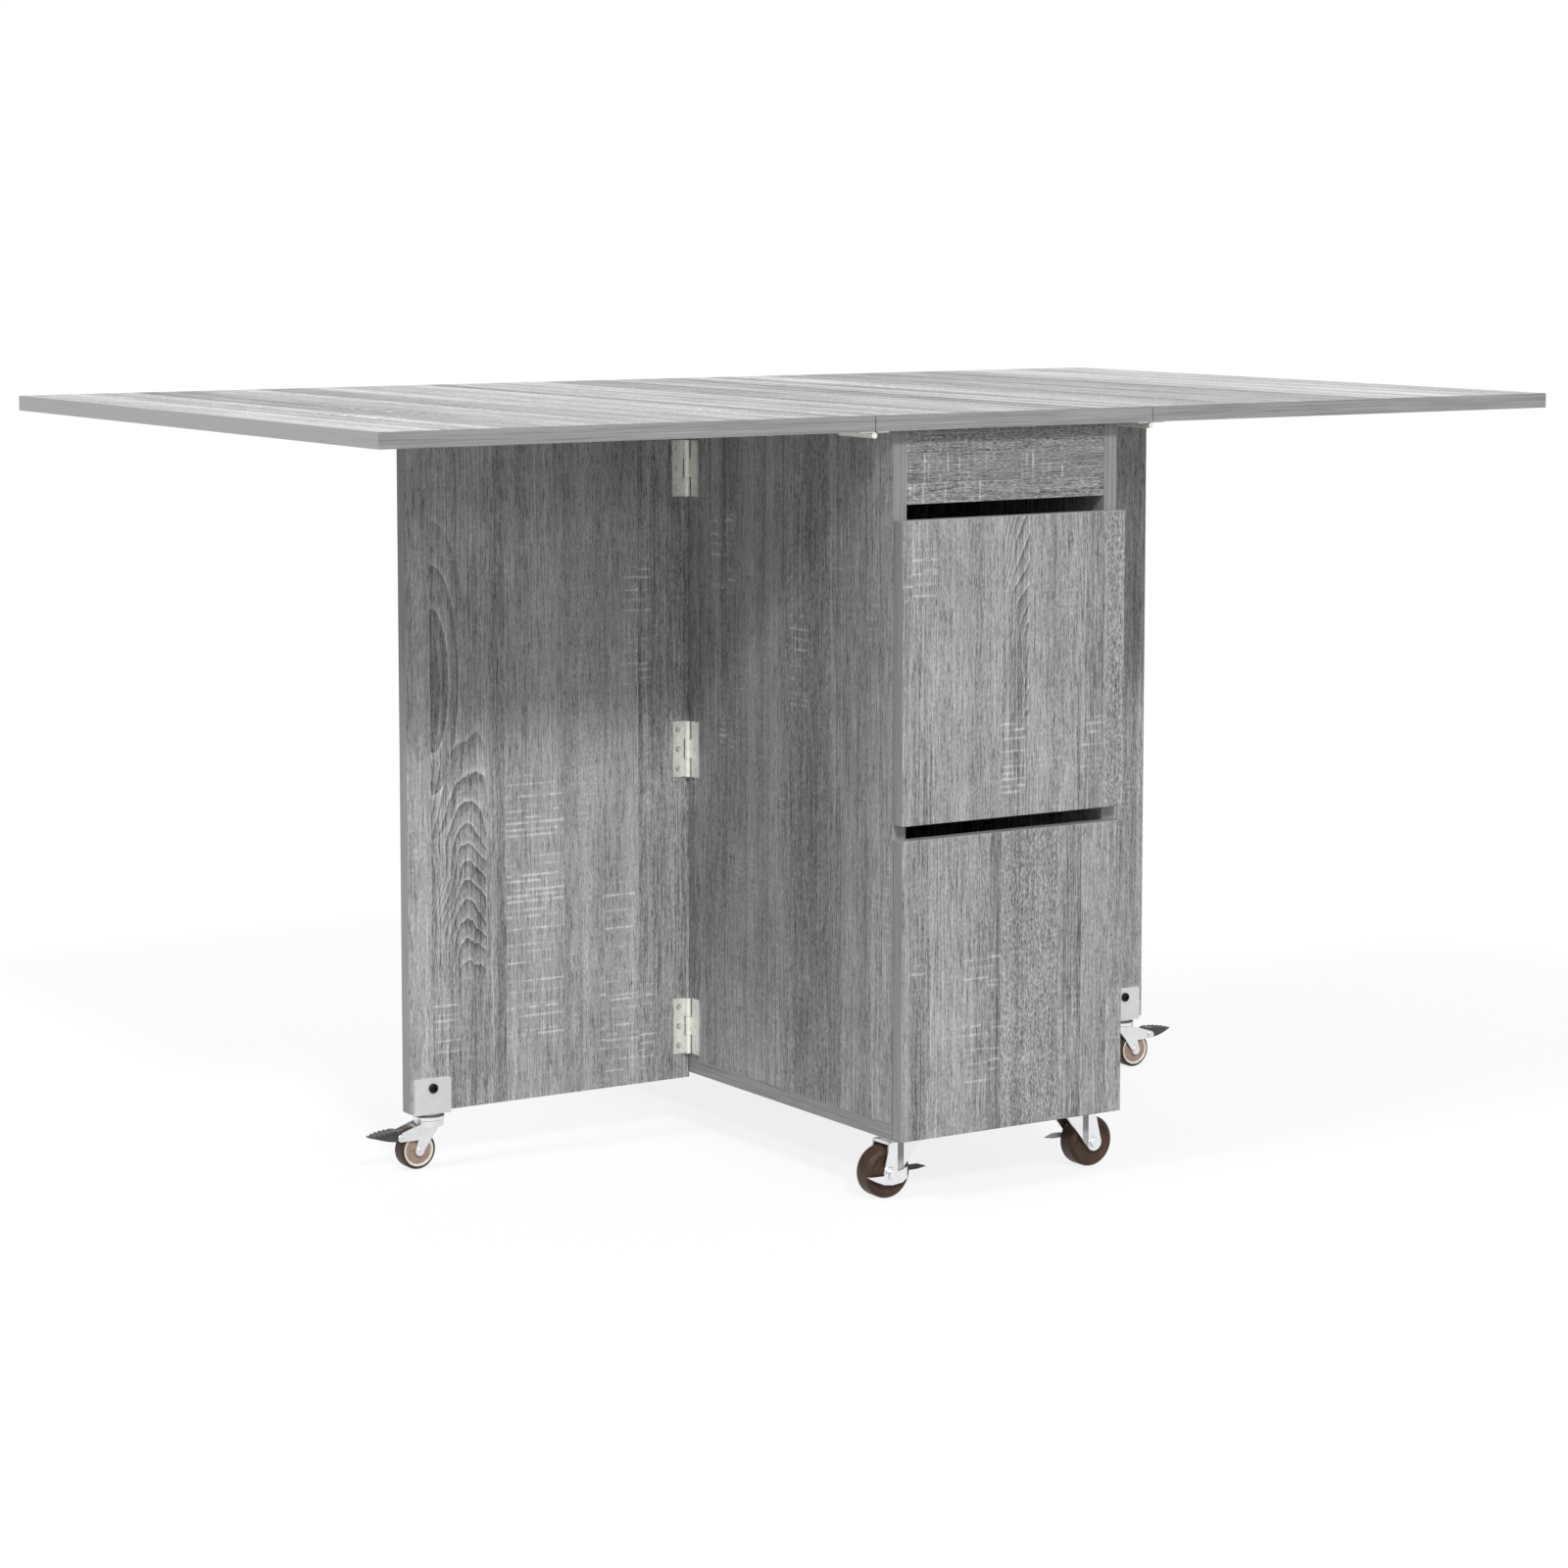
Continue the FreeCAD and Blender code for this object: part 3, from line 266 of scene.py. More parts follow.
# Noises of the grain: changes in a metre across it, along it and from layer to layer
LAYERS_BY_SHADE = 37.0
DRIFT_RATES = (50.0, 16.0, 1.0)
GRAIN_DRIFT = 3.5 * MM
BAND_RATES = (46.0, 0.8, 1.0)
CLOUD_RATES = (22.0, 9.0, 1.0)
STRAND_RATES = (420.0, 3.5, 1.0)
FIBRE_RATES = (900.0, 28.0, 1.0)
SPECK_RATES = (850.0, 240.0, 1.0)
PORE_RATES = (900.0, 60.0, 1.0)
PORE_EDGE = (0.58, 0.64)
SWEEP_RATES = (22.0, 4.0, 1.0)
JAG_RATES = (150.0, 40.0, 1.0)
JAG_SHARE = 0.10
SWAY_MIDDLE = 0.55

# Shares of them in the tone; a pair goes from a strip without lines or speckle to one with the most
MIDDLE_TONE = 0.53
SHADE_SHARE = 0.50
BAND_SHARE = 0.50
CLOUD_SHARE = 0.25
STRAND_SHARES = (0.32, 1.27)
FIBRE_SHARES = (0.75, 0.40)
SPECK_SHARES = (0.60, 1.45)
PORE_SHARE = -0.20
TICK_SHARE = 0.30
ARCH_SHARE = 0.46
LENS_SHARE = 0.40

# Shares of them in the height, beside the fibres
PORE_HEIGHT = -0.7
TICK_HEIGHT = 0.3

# Growth rings: parts of a ring that are pale and dark, and how the arches and lenses are drawn with them
RING_PALE = (0.72, 1.0)
RING_DARK = (0.55, 0.0)
STRIP_EDGE = 0.3 * MM
ARCH_POWER = 3.0
ARCH_SWAY = 0.14
ARCH_CROWDING = 2.0
ARCH_WANDER = 0.05
ARCH_WANDER_RATES = (1.0, 11.0, 1.0)
ARCH_END_EDGE = 30.0 * MM
RINGS_PER_LENS = 1.6
LENS_SWAY = 0.3
LENS_EDGE = (1.03, 0.97)
LENS_FADE = (3.2, 1.0)
LENS_CORE = -0.42

# Saw ticks: how each is drawn and broken, where stray ones show, and how soft a patch of them ends
TICKS_PER_METRE = 150.0
TICKS_BY_SHADE = 61.0
TICK_EDGE = (0.30, 0.06)
TICK_STRENGTH = (0.0, 0.8)
TICK_BREAK_RATES = (60.0, 5.0, 9.0)
TICK_BREAKS = (0.34, 0.58)
STRAY_RATES = (30.0, 9.0, 1.0)
STRAY_EDGE = (0.56, 0.66)
STRAY_SHARE = 0.35
PATCH_SIDE_EDGE = 4.0 * MM
PATCH_END_EDGE = 12.0 * MM


def scattered_strips(low, high, seed):
    """Strips that fill a board from its low to its high side: start, shade, speckle and lines of each."""
    dice = random.Random(seed)
    strips = []
    start = low
    while start < high and len(strips) < MOST_STRIPS:
        speckle = dice.choice(STRIP_SPECKLES)
        strips.append((start, dice.uniform(*STRIP_SHADES), speckle, dice.uniform(*STRIP_LINES)))
        start += dice.uniform(*STRIP_WIDTHS)
    return strips


def scattered_patches(strips, low_along, high_along, seed):
    """Patches of saw ticks on about every second strip: both sides across and both ends along."""
    dice = random.Random(seed)
    patches = []
    for strip, following in zip(strips, strips[1:]):
        if dice.random() < 1.0 - TICKED_STRIPS:
            continue
        length = dice.uniform(*PATCH_LENGTHS)
        bottom = dice.uniform(low_along, high_along - length)
        patches.append((strip[0], following[0], bottom, bottom + length))
    return patches


def scattered_arches(strips, low_along, high_along, seed):
    """Arches on about every fifth strip, with the spine on one of its sides."""
    dice = random.Random(seed)
    arches = []
    for strip, following in zip(strips, strips[1:]):
        if dice.random() < 1.0 - ARCHED_STRIPS:
            continue
        spine = dice.choice((strip[0], following[0]))
        bottom = dice.uniform(low_along, (low_along + high_along) / 2)
        pitch = dice.uniform(*ARCH_PITCHES)
        top = bottom + dice.uniform(*ARCH_LENGTHS)
        arches.append((spine, ARCH_BEND, pitch, strip[0], following[0], bottom, top))
    return arches


def strip_traits(recipe, across, strips, high):
    """Shade, speckle and lines of the strip that a point lies in."""
    low = strips[0][0]
    span = high - low
    stops = [((start - low) / span, traits) for start, *traits in strips]
    place = recipe.times(recipe.plus(across, -low), 1.0 / span)
    return recipe.split(recipe.ramp(place, *stops, hard=True))


def ring_edge(recipe, rings):
    """Pale just before each whole number of rings and dark just after it, from -0.5 to 0.5."""
    part = recipe.math("FRACT", rings)
    pale = recipe.step(part, *RING_PALE)
    dark = recipe.step(part, *RING_DARK)
    return recipe.times(recipe.math("SUBTRACT", pale, dark), 0.5)


def arch_figure(recipe, across, along, arch, sway):
    """Growth rings that arch over a spine and crowd downwards; shown in a part of one strip."""
    spine, bend, pitch, low_across, high_across, low_along, high_along = arch
    wander = recipe.noise(recipe.join(spine, along, pitch), ARCH_WANDER_RATES, detail=1.0)
    aside = recipe.plus(across, -spine, recipe.swing(wander, ARCH_WANDER))
    drop = recipe.times(recipe.math("POWER", recipe.math("ABSOLUTE", aside), ARCH_POWER), bend)
    depth = recipe.math("SUBTRACT", high_along, recipe.plus(along, drop, recipe.times(sway, ARCH_SWAY)))
    crowding = recipe.plus(recipe.times(depth, ARCH_CROWDING), 1.0)
    rings = recipe.times(recipe.times(depth, crowding), 1.0 / pitch)
    shown = recipe.times(
        recipe.within(across, low_across, high_across, STRIP_EDGE),
        recipe.within(along, low_along, high_along, ARCH_END_EDGE),
    )
    return recipe.times(ring_edge(recipe, rings), shown)


def lens_figure(recipe, across, along, lens, sway):
    """A dark lens with rings round it, cut off at the sides of its strip."""
    place_across, place_along, half_width, half_length, low_across, high_across = lens
    sideways = recipe.times(recipe.plus(across, -place_across), 1.0 / half_width)
    lengthways = recipe.times(recipe.plus(along, -place_along), 1.0 / half_length)
    square = recipe.plus(recipe.times(sideways, sideways), recipe.times(lengthways, lengthways))
    ring = recipe.plus(recipe.math("SQRT", square), recipe.times(sway, LENS_SWAY))
    inside = recipe.step(ring, *LENS_EDGE)
    outside = recipe.math("SUBTRACT", 1.0, inside)
    count = recipe.times(recipe.plus(ring, -1.0), -RINGS_PER_LENS)
    rings = recipe.times(ring_edge(recipe, count), recipe.step(ring, *LENS_FADE))
    figure = recipe.plus(recipe.times(rings, outside), recipe.times(inside, LENS_CORE))
    return recipe.times(figure, recipe.within(across, low_across, high_across, STRIP_EDGE))


def saw_ticks(recipe, across, along, shade, grain, patches):
    """Pale ticks that a rough saw left across the grain, in patches and here and there."""
    place = recipe.plus(recipe.times(along, TICKS_PER_METRE), recipe.times(shade, TICKS_BY_SHADE))
    away, chance, cut_place = recipe.cells(place)
    cut = recipe.times(recipe.step(away, *TICK_EDGE), recipe.step(chance, *TICK_STRENGTH))
    broken = recipe.noise(recipe.join(across, cut_place, shade), TICK_BREAK_RATES)
    cut = recipe.times(cut, recipe.step(broken, *TICK_BREAKS))
    share = recipe.times(recipe.step(recipe.noise(grain, STRAY_RATES), *STRAY_EDGE), STRAY_SHARE)
    for low_across, high_across, low_along, high_along in patches:
        sideways = recipe.within(across, low_across, high_across, PATCH_SIDE_EDGE)
        lengthways = recipe.within(along, low_along, high_along, PATCH_END_EDGE)
        share = recipe.math("MAXIMUM", share, recipe.times(sideways, lengthways))
    return recipe.times(cut, share)


def oak_tone(recipe, across, along, seed, strips, high, arches, lenses, patches, streak):
    """Tone of the print from 0, dark, to 1, light, and the height of its fibres."""
    shade, speckle, lines = strip_traits(recipe, across, strips, high)
    layer = recipe.plus(recipe.times(shade, LAYERS_BY_SHADE), seed)
    drift = recipe.noise(recipe.join(across, along, layer), DRIFT_RATES)
    grain = recipe.join(recipe.plus(across, recipe.times(drift, GRAIN_DRIFT)), along, layer)

    bands = recipe.noise(grain, BAND_RATES)
    clouds = recipe.noise(grain, CLOUD_RATES)
    strands = recipe.noise(grain, STRAND_RATES, detail=3.0, roughness=0.75)
    fibres = recipe.noise(grain, FIBRE_RATES, roughness=0.6)
    specks = recipe.noise(grain, SPECK_RATES, roughness=0.6)
    pores = recipe.step(recipe.noise(grain, PORE_RATES, detail=1.0), *PORE_EDGE)
    sweep = recipe.noise(grain, SWEEP_RATES, detail=1.0, roughness=0.4)
    jags = recipe.noise(grain, JAG_RATES, roughness=0.6)
    sway = recipe.plus(sweep, recipe.times(jags, JAG_SHARE), -SWAY_MIDDLE)
    ticks = saw_ticks(recipe, across, along, shade, grain, patches)

    tone = recipe.plus(
        recipe.swing(shade, SHADE_SHARE * streak),
        recipe.swing(bands, BAND_SHARE * streak),
        recipe.swing(clouds, CLOUD_SHARE),
        recipe.swing(strands, recipe.spread(lines, *STRAND_SHARES)),
        recipe.swing(fibres, recipe.spread(speckle, *FIBRE_SHARES)),
        recipe.swing(specks, recipe.spread(speckle, *SPECK_SHARES)),
        recipe.times(pores, PORE_SHARE),
        recipe.times(ticks, TICK_SHARE),
        MIDDLE_TONE,
    )
    for arch in arches:
        tone = recipe.plus(tone, recipe.times(arch_figure(recipe, across, along, arch, sway), ARCH_SHARE))
    for lens in lenses:
        tone = recipe.plus(tone, recipe.times(lens_figure(recipe, across, along, lens, sway), LENS_SHARE))
    height = recipe.plus(fibres, recipe.times(pores, PORE_HEIGHT), recipe.times(ticks, TICK_HEIGHT))
    return tone, height


# Colours of the print and of the edge banding by tone, and how the boards catch the light
OAK_STOPS = (
    (0.00, grey(0.090)),
    (0.30, grey(0.235)),
    (0.50, grey(0.395)),
    (0.70, grey(0.560)),
    (1.00, grey(0.830)),
)
BANDING_STOPS = (
    (0.25, grey(0.225)),
    (0.50, grey(0.345)),
    (0.75, grey(0.465)),
)
BANDING_CLOUDS = 9.0
BANDING_LINES = 720.0
FACE_TURN = (0.55, 0.8)
OAK_ROUGHNESS = (0.55, 0.67)
OAK_SHEEN = 0.22
OAK_BUMP = (0.15 * MM, 0.6)
BOARD_ROUNDING = 0.8 * MM


def banding_colour(recipe, through, side_share, side_lift):
    """Fine lines along a board's edges, paler by the lift on the sides that run with the grain."""
    rates = list(even(BANDING_CLOUDS))
    rates[through] = BANDING_LINES
    lines = recipe.noise(recipe.place, rates, detail=3.0, roughness=0.7)
    return recipe.ramp(recipe.plus(lines, recipe.times(side_share, side_lift)), *BANDING_STOPS)


def oak_board(node, along, through, seed, strips=(), arches=(), lenses=(), patches=(),
              streak=1.0, lift=0.0, side_lift=0.0):
    """Printed grey oak on a board whose grain runs along one axis, with smoother banding on its edges."""
    recipe = Recipe(node + "_oak")
    places = recipe.split(recipe.place)
    facings = recipe.split(recipe.facing)
    across = X + Y + Z - along - through
    low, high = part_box(node)
    if not strips:
        strips = scattered_strips(low[across], high[across], seed)
        patches = scattered_patches(strips, low[along], high[along], seed)
        arches = scattered_arches(strips, low[along], high[along], seed)
    tone, height = oak_tone(recipe, places[across], places[along], seed, strips, high[across],
                            arches, lenses, patches, streak)
    face_colour = recipe.ramp(recipe.plus(tone, lift), *OAK_STOPS)
    side_share = recipe.math("ABSOLUTE", facings[across])
    edge_colour = banding_colour(recipe, through, side_share, side_lift)
    face_share = recipe.step(recipe.math("ABSOLUTE", facings[through]), *FACE_TURN)
    recipe.set(
        Base_Color=recipe.blend(face_share, edge_colour, face_colour),
        Roughness=recipe.spread(height, *OAK_ROUGHNESS),
        Specular_IOR_Level=OAK_SHEEN,
    )
    recipe.bump(recipe.times(height, face_share), *OAK_BUMP)
    return recipe.material


# Boards and dowels inside the drawers and the cabinet

MELAMINE_CLOUDS = (14.0, 5.0, 14.0)
MELAMINE_SPECKS = even(700.0)
MELAMINE_SPECK_SHARE = 0.3
MELAMINE_DARK = grey(0.50)
MELAMINE_LIGHT = grey(0.64)
MELAMINE_ROUGHNESS = (0.42, 0.57)
MELAMINE_BUMP = (0.05 * MM, 0.4)
MELAMINE_ROUNDING = 0.4 * MM

BEECH_FIBRES = (900.0, 900.0, 60.0)
BEECH_DARK = (0.36, 0.23, 0.13)
BEECH_LIGHT = (0.62, 0.45, 0.29)
BEECH_ROUGHNESS = 0.62
BEECH_BUMP = (0.1 * MM, 0.5)


def drawer_melamine(name):
    """Plain pale board, faintly clouded."""
    recipe = Recipe(name)
    cloud = recipe.noise(recipe.place, MELAMINE_CLOUDS, detail=3.0)
    speck = recipe.noise(recipe.place, MELAMINE_SPECKS)
    tone = recipe.mix(cloud, speck, MELAMINE_SPECK_SHARE)
    recipe.set(
        Base_Color=recipe.two_tone(tone, MELAMINE_DARK, MELAMINE_LIGHT, WIDE_NOISE_SPAN),
        Roughness=recipe.spread(speck, *MELAMINE_ROUGHNESS),
    )
    recipe.bump(speck, *MELAMINE_BUMP)
    return recipe.material


def beech(name):
    """Plain turned beech with upright fibres."""
    recipe = Recipe(name)
    fibre = recipe.noise(recipe.place, BEECH_FIBRES, detail=3.0, roughness=0.6)
    recipe.set(
        Base_Color=recipe.two_tone(fibre, BEECH_DARK, BEECH_LIGHT, WIDE_NOISE_SPAN),
        Roughness=BEECH_ROUGHNESS,
    )
    recipe.bump(fibre, *BEECH_BUMP)
    return recipe.material


# Metal: dull zinc on hinges, drawn steel on rails, bright zinc on casters, grey coat on the gate brackets

ZINC_DARK = (0.73, 0.735, 0.70)
ZINC_LIGHT = (0.89, 0.895, 0.855)
ZINC_ROUGHNESS = 0.56
DRAWN_DARK = (0.42, 0.43, 0.44)
DRAWN_LIGHT = (0.56, 0.57, 0.58)
DRAWN_ROUGHNESS = 0.34
BRIGHT_DARK = grey(0.70)
BRIGHT_ZINC = (0.83, 0.84, 0.86)
BRIGHT_ROUGHNESS = 0.18
PLATE_CLOUDS = even(170.0)
PLATE_LINES = (1400.0, 1400.0, 120.0)
PLATE_LINE_SHARE = 0.25
PLATE_CLOUDING = 0.16
PLATE_BUMP = (0.03 * MM, 0.35)
METAL_ROUNDING = 0.35 * MM

# Coats and painted shade that cover a part of a piece, with the span that each covers: a real black coat on
# the bracket bolts, painted shade round the swivel heads' necks, in the cabinet forks' leg grooves and on
# the brake levers' tips
SCREW_ZINC = (0.80, 0.80, 0.76)
BOLT_BLACK = grey(0.010)
BRACKET_BOLT_SPAN = (0.400, 0.460)
# Painted shade: a dark grey ring round the swivel head's neck, just under the gate bracket
NECK_PAINTED_SHADE = grey(0.16)
SWIVEL_NECK_SHADE_SPAN = (0.0512, 0.0536)
# Painted shade: a grey band down each leg of the cabinet forks, in the crease of the leg
GROOVE_PAINTED_SHADE = grey(0.50)
LEG_GROOVE_SHADE_SPAN = (0.1068, 0.1137)
# Painted shade on the far tips of the front brake levers: near-black on the left, pale grey on the right
LEVER_TIP_PAINTED_SHADES = {"left": grey(0.05), "right": grey(0.75)}
LEVER_TIP_SHADE_SPAN = (0.060, 0.1045)
COAT_OR_SHADE_EDGE = 0.3 * MM
COAT_CLOUDS = even(300.0)
COAT_WEAR = (0.85, 1.15)
COAT_ROUGHNESS = (0.22, 0.34)
COAT_OR_SHADE_DULLNESS = 0.16
COAT_SHEEN = 0.15
COAT_BUMP = (0.03 * MM, 0.4)

BRACKET_PEEL = even(900.0)
BRACKET_CLOUDS = even(90.0)
BRACKET_DARK = grey(0.74)
BRACKET_LIGHT = grey(0.80)
BRACKET_METAL = 0.35
BRACKET_ROUGHNESS = (0.36, 0.48)
BRACKET_BUMP = (0.03 * MM, 0.4)
BRACKET_ROUNDING = 0.3 * MM


def plated_steel(name, dark, light, rough):
    """Plated steel with soft clouding and fine drawing lines."""
    recipe = Recipe(name)
    cloud = recipe.noise(recipe.place, PLATE_CLOUDS, detail=3.0, roughness=0.6)
    lines = recipe.noise(recipe.place, PLATE_LINES)
    tone = recipe.mix(cloud, lines, PLATE_LINE_SHARE)
    recipe.set(
        Base_Color=recipe.two_tone(tone, dark, light),
        Metallic=1.0,
        Roughness=recipe.plus(recipe.times(cloud, PLATE_CLOUDING), rough),
    )
    recipe.bump(lines, *PLATE_BUMP)
    return recipe.material


def zinc_with_coat_or_painted_shade(name, zinc_colour, coat_or_shade_colour, axis, span):
    """Zinc plate with a dull band over a span of one axis, measured from the middle to either side: a real
    coat on the bolts, painted shade on the other pieces.
    """
    recipe = Recipe(name)
    place = recipe.math("ABSOLUTE", recipe.split(recipe.place)[axis])
    cloud = recipe.noise(recipe.place, COAT_CLOUDS)
    clean = recipe.spread(cloud, *COAT_WEAR)
    # Mask of the band: the real coat on the bolts, painted shade on the swivel necks, leg grooves and lever
    # tips
    coat_or_shade_mask = recipe.within(place, *span, COAT_OR_SHADE_EDGE)
    colour = recipe.blend(coat_or_shade_mask, opaque(zinc_colour), opaque(coat_or_shade_colour))
    recipe.set(
        Base_Color=recipe.blend(clean, opaque(grey(0.0)), colour),
        Metallic=recipe.math("SUBTRACT", 1.0, coat_or_shade_mask),
        Roughness=recipe.plus(recipe.spread(cloud, *COAT_ROUGHNESS), recipe.times(coat_or_shade_mask, COAT_OR_SHADE_DULLNESS)),
        Specular_IOR_Level=COAT_SHEEN,
    )
    recipe.bump(cloud, *COAT_BUMP)
    return recipe.material


def painted_bracket(name):
    """Satin pale grey coat with a fine orange peel."""
    recipe = Recipe(name)
    peel = recipe.noise(recipe.place, BRACKET_PEEL)
    cloud = recipe.noise(recipe.place, BRACKET_CLOUDS)
    recipe.set(
        Base_Color=recipe.two_tone(cloud, BRACKET_DARK, BRACKET_LIGHT),
        Metallic=BRACKET_METAL,
        Roughness=recipe.spread(peel, *BRACKET_ROUGHNESS),
    )
    recipe.bump(peel, *BRACKET_BUMP)
    return recipe.material


# Plastic and rubber of the casters

BLACK_GRAIN = even(2600.0)
BLACK_CLOUDS = even(140.0)
BLACK_DARK = (0.034, 0.030, 0.031)
BLACK_LIGHT = (0.066, 0.061, 0.062)
BLACK_ROUGHNESS = (0.36, 0.56)
BLACK_BUMP = (0.04 * MM, 0.5)

TREAD_MOTTLE = even(420.0)
TREAD_CLOUDS = even(75.0)
TREAD_CLOUD_SHARE = 0.5
TREAD_DARK = (0.040, 0.020, 0.012)
TREAD_LIGHT = (0.092, 0.052, 0.034)
TREAD_ROUGHNESS = (0.36, 0.56)
TREAD_SHEEN = 0.28
TREAD_BUMP = (0.05 * MM, 0.5)
TREAD_ROUNDING = 1.2 * MM
TYRE_ROUNDING = 0.6 * MM
TURNING_RATE = 5200.0
TURNING_TONE = 0.04
TURNING_HEIGHT = 0.3

HUB_CLOUDS = even(240.0)
HUB_TAN_DARK = (0.33, 0.225, 0.185)
HUB_TAN_LIGHT = (0.45, 0.325, 0.275)
HUB_CREAM_DARK = (0.85, 0.79, 0.69)
HUB_CREAM_LIGHT = (0.95, 0.91, 0.84)
HUB_RIM_START = (13.4 * MM, 13.8 * MM)
HUB_ROUGHNESS = (0.32, 0.47)
HUB_BUMP = (0.04 * MM, 0.4)
HUB_ROUNDING = 0.3 * MM


def moulded_black(name):
    """Matt black plastic with a fine moulded grain."""
    recipe = Recipe(name)
    grain = recipe.noise(recipe.place, BLACK_GRAIN)
    cloud = recipe.noise(recipe.place, BLACK_CLOUDS)
    recipe.set(
        Base_Color=recipe.two_tone(cloud, BLACK_DARK, BLACK_LIGHT),
        Roughness=recipe.spread(grain, *BLACK_ROUGHNESS),
    )
    recipe.bump(grain, *BLACK_BUMP)
    return recipe.material


def distance_from_axle(recipe, axle):
    """Distance from a wheel's axle, which lies along Y, in metres."""
    places = recipe.split(recipe.place)
    sideways = recipe.plus(places[X], -axle.x)
    upwards = recipe.plus(places[Z], -axle.z)
    square = recipe.plus(recipe.times(sideways, sideways), recipe.times(upwards, upwards))
    return recipe.math("SQRT", square)


def brown_rubber(name, axle):
    """Dark brown moulded tread with faint turned rings on its faces."""
    recipe = Recipe(name)
    radius = distance_from_axle(recipe, axle)
    mottle = recipe.noise(recipe.place, TREAD_MOTTLE, detail=3.0, roughness=0.6)
    cloud = recipe.noise(recipe.place, TREAD_CLOUDS)
    rings = recipe.math("SINE", recipe.times(radius, TURNING_RATE))
    tone = recipe.plus(recipe.mix(mottle, cloud, TREAD_CLOUD_SHARE), recipe.times(rings, TURNING_TONE))
    recipe.set(
        Base_Color=recipe.two_tone(tone, TREAD_DARK, TREAD_LIGHT),
        Roughness=recipe.spread(mottle, *TREAD_ROUGHNESS),
        Specular_IOR_Level=TREAD_SHEEN,
    )
    recipe.bump(recipe.plus(recipe.times(rings, TURNING_HEIGHT), mottle), *TREAD_BUMP)
    return recipe.material


def hub_plastic(name, axle):
    """Tan hub with a cream rim."""
    recipe = Recipe(name)
    radius = distance_from_axle(recipe, axle)
    cloud = recipe.noise(recipe.place, HUB_CLOUDS, detail=3.0)
    tan = recipe.two_tone(cloud, HUB_TAN_DARK, HUB_TAN_LIGHT)
    cream = recipe.two_tone(cloud, HUB_CREAM_DARK, HUB_CREAM_LIGHT)
    recipe.set(
        Base_Color=recipe.blend(recipe.step(radius, *HUB_RIM_START), tan, cream),
        Roughness=recipe.spread(cloud, *HUB_ROUGHNESS),
    )
    recipe.bump(cloud, *HUB_BUMP)
    return recipe.material


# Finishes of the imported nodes

WELD_DISTANCE = 0.002 * MM
SHARP_EDGE = math.radians(35.0)


def paint(node, material):
    """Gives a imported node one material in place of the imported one."""
    slots = frame["nodes"][node].data.materials
    slots.clear()
    slots.append(material)


def soften(node, width):
    """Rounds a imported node's sharp edges a little."""
    target = frame["nodes"][node]
    weld = target.modifiers.new("weld", "WELD")
    weld.merge_threshold = WELD_DISTANCE
    bevel = target.modifiers.new("rounding", "BEVEL")
    bevel.width = width
    bevel.segments = 2
    bevel.limit_method = "ANGLE"
    bevel.angle_limit = SHARP_EDGE
    bevel.use_clamp_overlap = True
    smooth = target.modifiers.new("shading", "WEIGHTED_NORMAL")
    smooth.keep_sharp = False


# Figures of the boards that the photograph shows best
# Strips: start across the board, shade, speckle, lines
# Arches: spine, bend, pitch of the rings, both sides across and both ends along
# Lenses: place across and along, half width, half length, both sides of the strip that they show in
# Patches of ticks: both sides across and both ends along
LEFT_GATE = {
    "strips": (
        (-0.452, 0.66, 0.1, 0.2),
        (-0.426, 0.44, 0.1, 0.7),
        (-0.365, 0.47, 0.0, 0.6),
        (-0.343, 0.60, 0.0, 0.4),
        (-0.277, 0.46, 0.2, 0.2),
        (-0.231, 0.54, 0.1, 0.5),
        (-0.190, 0.36, 0.2, 0.6),
    ),
    "arches": (
        (-0.386, 1800.0, 0.036, -0.426, -0.365, 0.190, 0.425),
    ),
    "lenses": (
        (-0.424, 0.480, 0.018, 0.070, -0.426, -0.365),
    ),
    "patches": (
        (-0.343, -0.277, 0.315, 0.375),
        (-0.343, -0.277, 0.115, 0.300),
        (-0.231, -0.195, 0.205, 0.262),
        (-0.206, -0.176, 0.455, 0.600),
        (-0.236, -0.172, 0.070, 0.165),
        (-0.426, -0.395, 0.110, 0.170),
    ),
}
UPPER_FRONT = {
    "strips": (
        (-0.130, 0.50, 0.0, 0.2),
        (-0.119, 0.44, 0.1, 0.7),
        (-0.090, 0.60, 0.1, 0.3),
        (-0.016, 0.44, 0.0, 0.8),
        (0.016, 0.53, 0.2, 0.3),
        (0.074, 0.44, 0.1, 0.9),
        (0.106, 0.48, 1.0, 0.1),
    ),
    "arches": (
        (0.019, 5000.0, 0.036, -0.016, 0.016, 0.455, 0.680),
    ),
    "patches": (
        (-0.126, -0.090, 0.575, 0.645),
        (-0.016, 0.012, 0.372, 0.460),
        (0.080, 0.106, 0.395, 0.450),
    ),
}
LOWER_FRONT = {
    "strips": (
        (-0.130, 0.50, 0.0, 0.3),
        (-0.119, 0.40, 0.2, 0.9),
        (-0.098, 0.56, 0.2, 0.4),
        (-0.030, 0.40, 0.1, 0.6),
        (-0.016, 0.48, 1.0, 0.1),
        (0.051, 0.42, 0.2, 0.9),
        (0.080, 0.60, 0.1, 0.4),
        (0.110, 0.50, 0.3, 0.5),
    ),
    "patches": (
        (-0.119, -0.102, 0.205, 0.245),
        (-0.058, -0.016, 0.200, 0.240),
        (-0.058, -0.016, 0.105, 0.172),
        (0.054, 0.084, 0.160, 0.190),
    ),
}
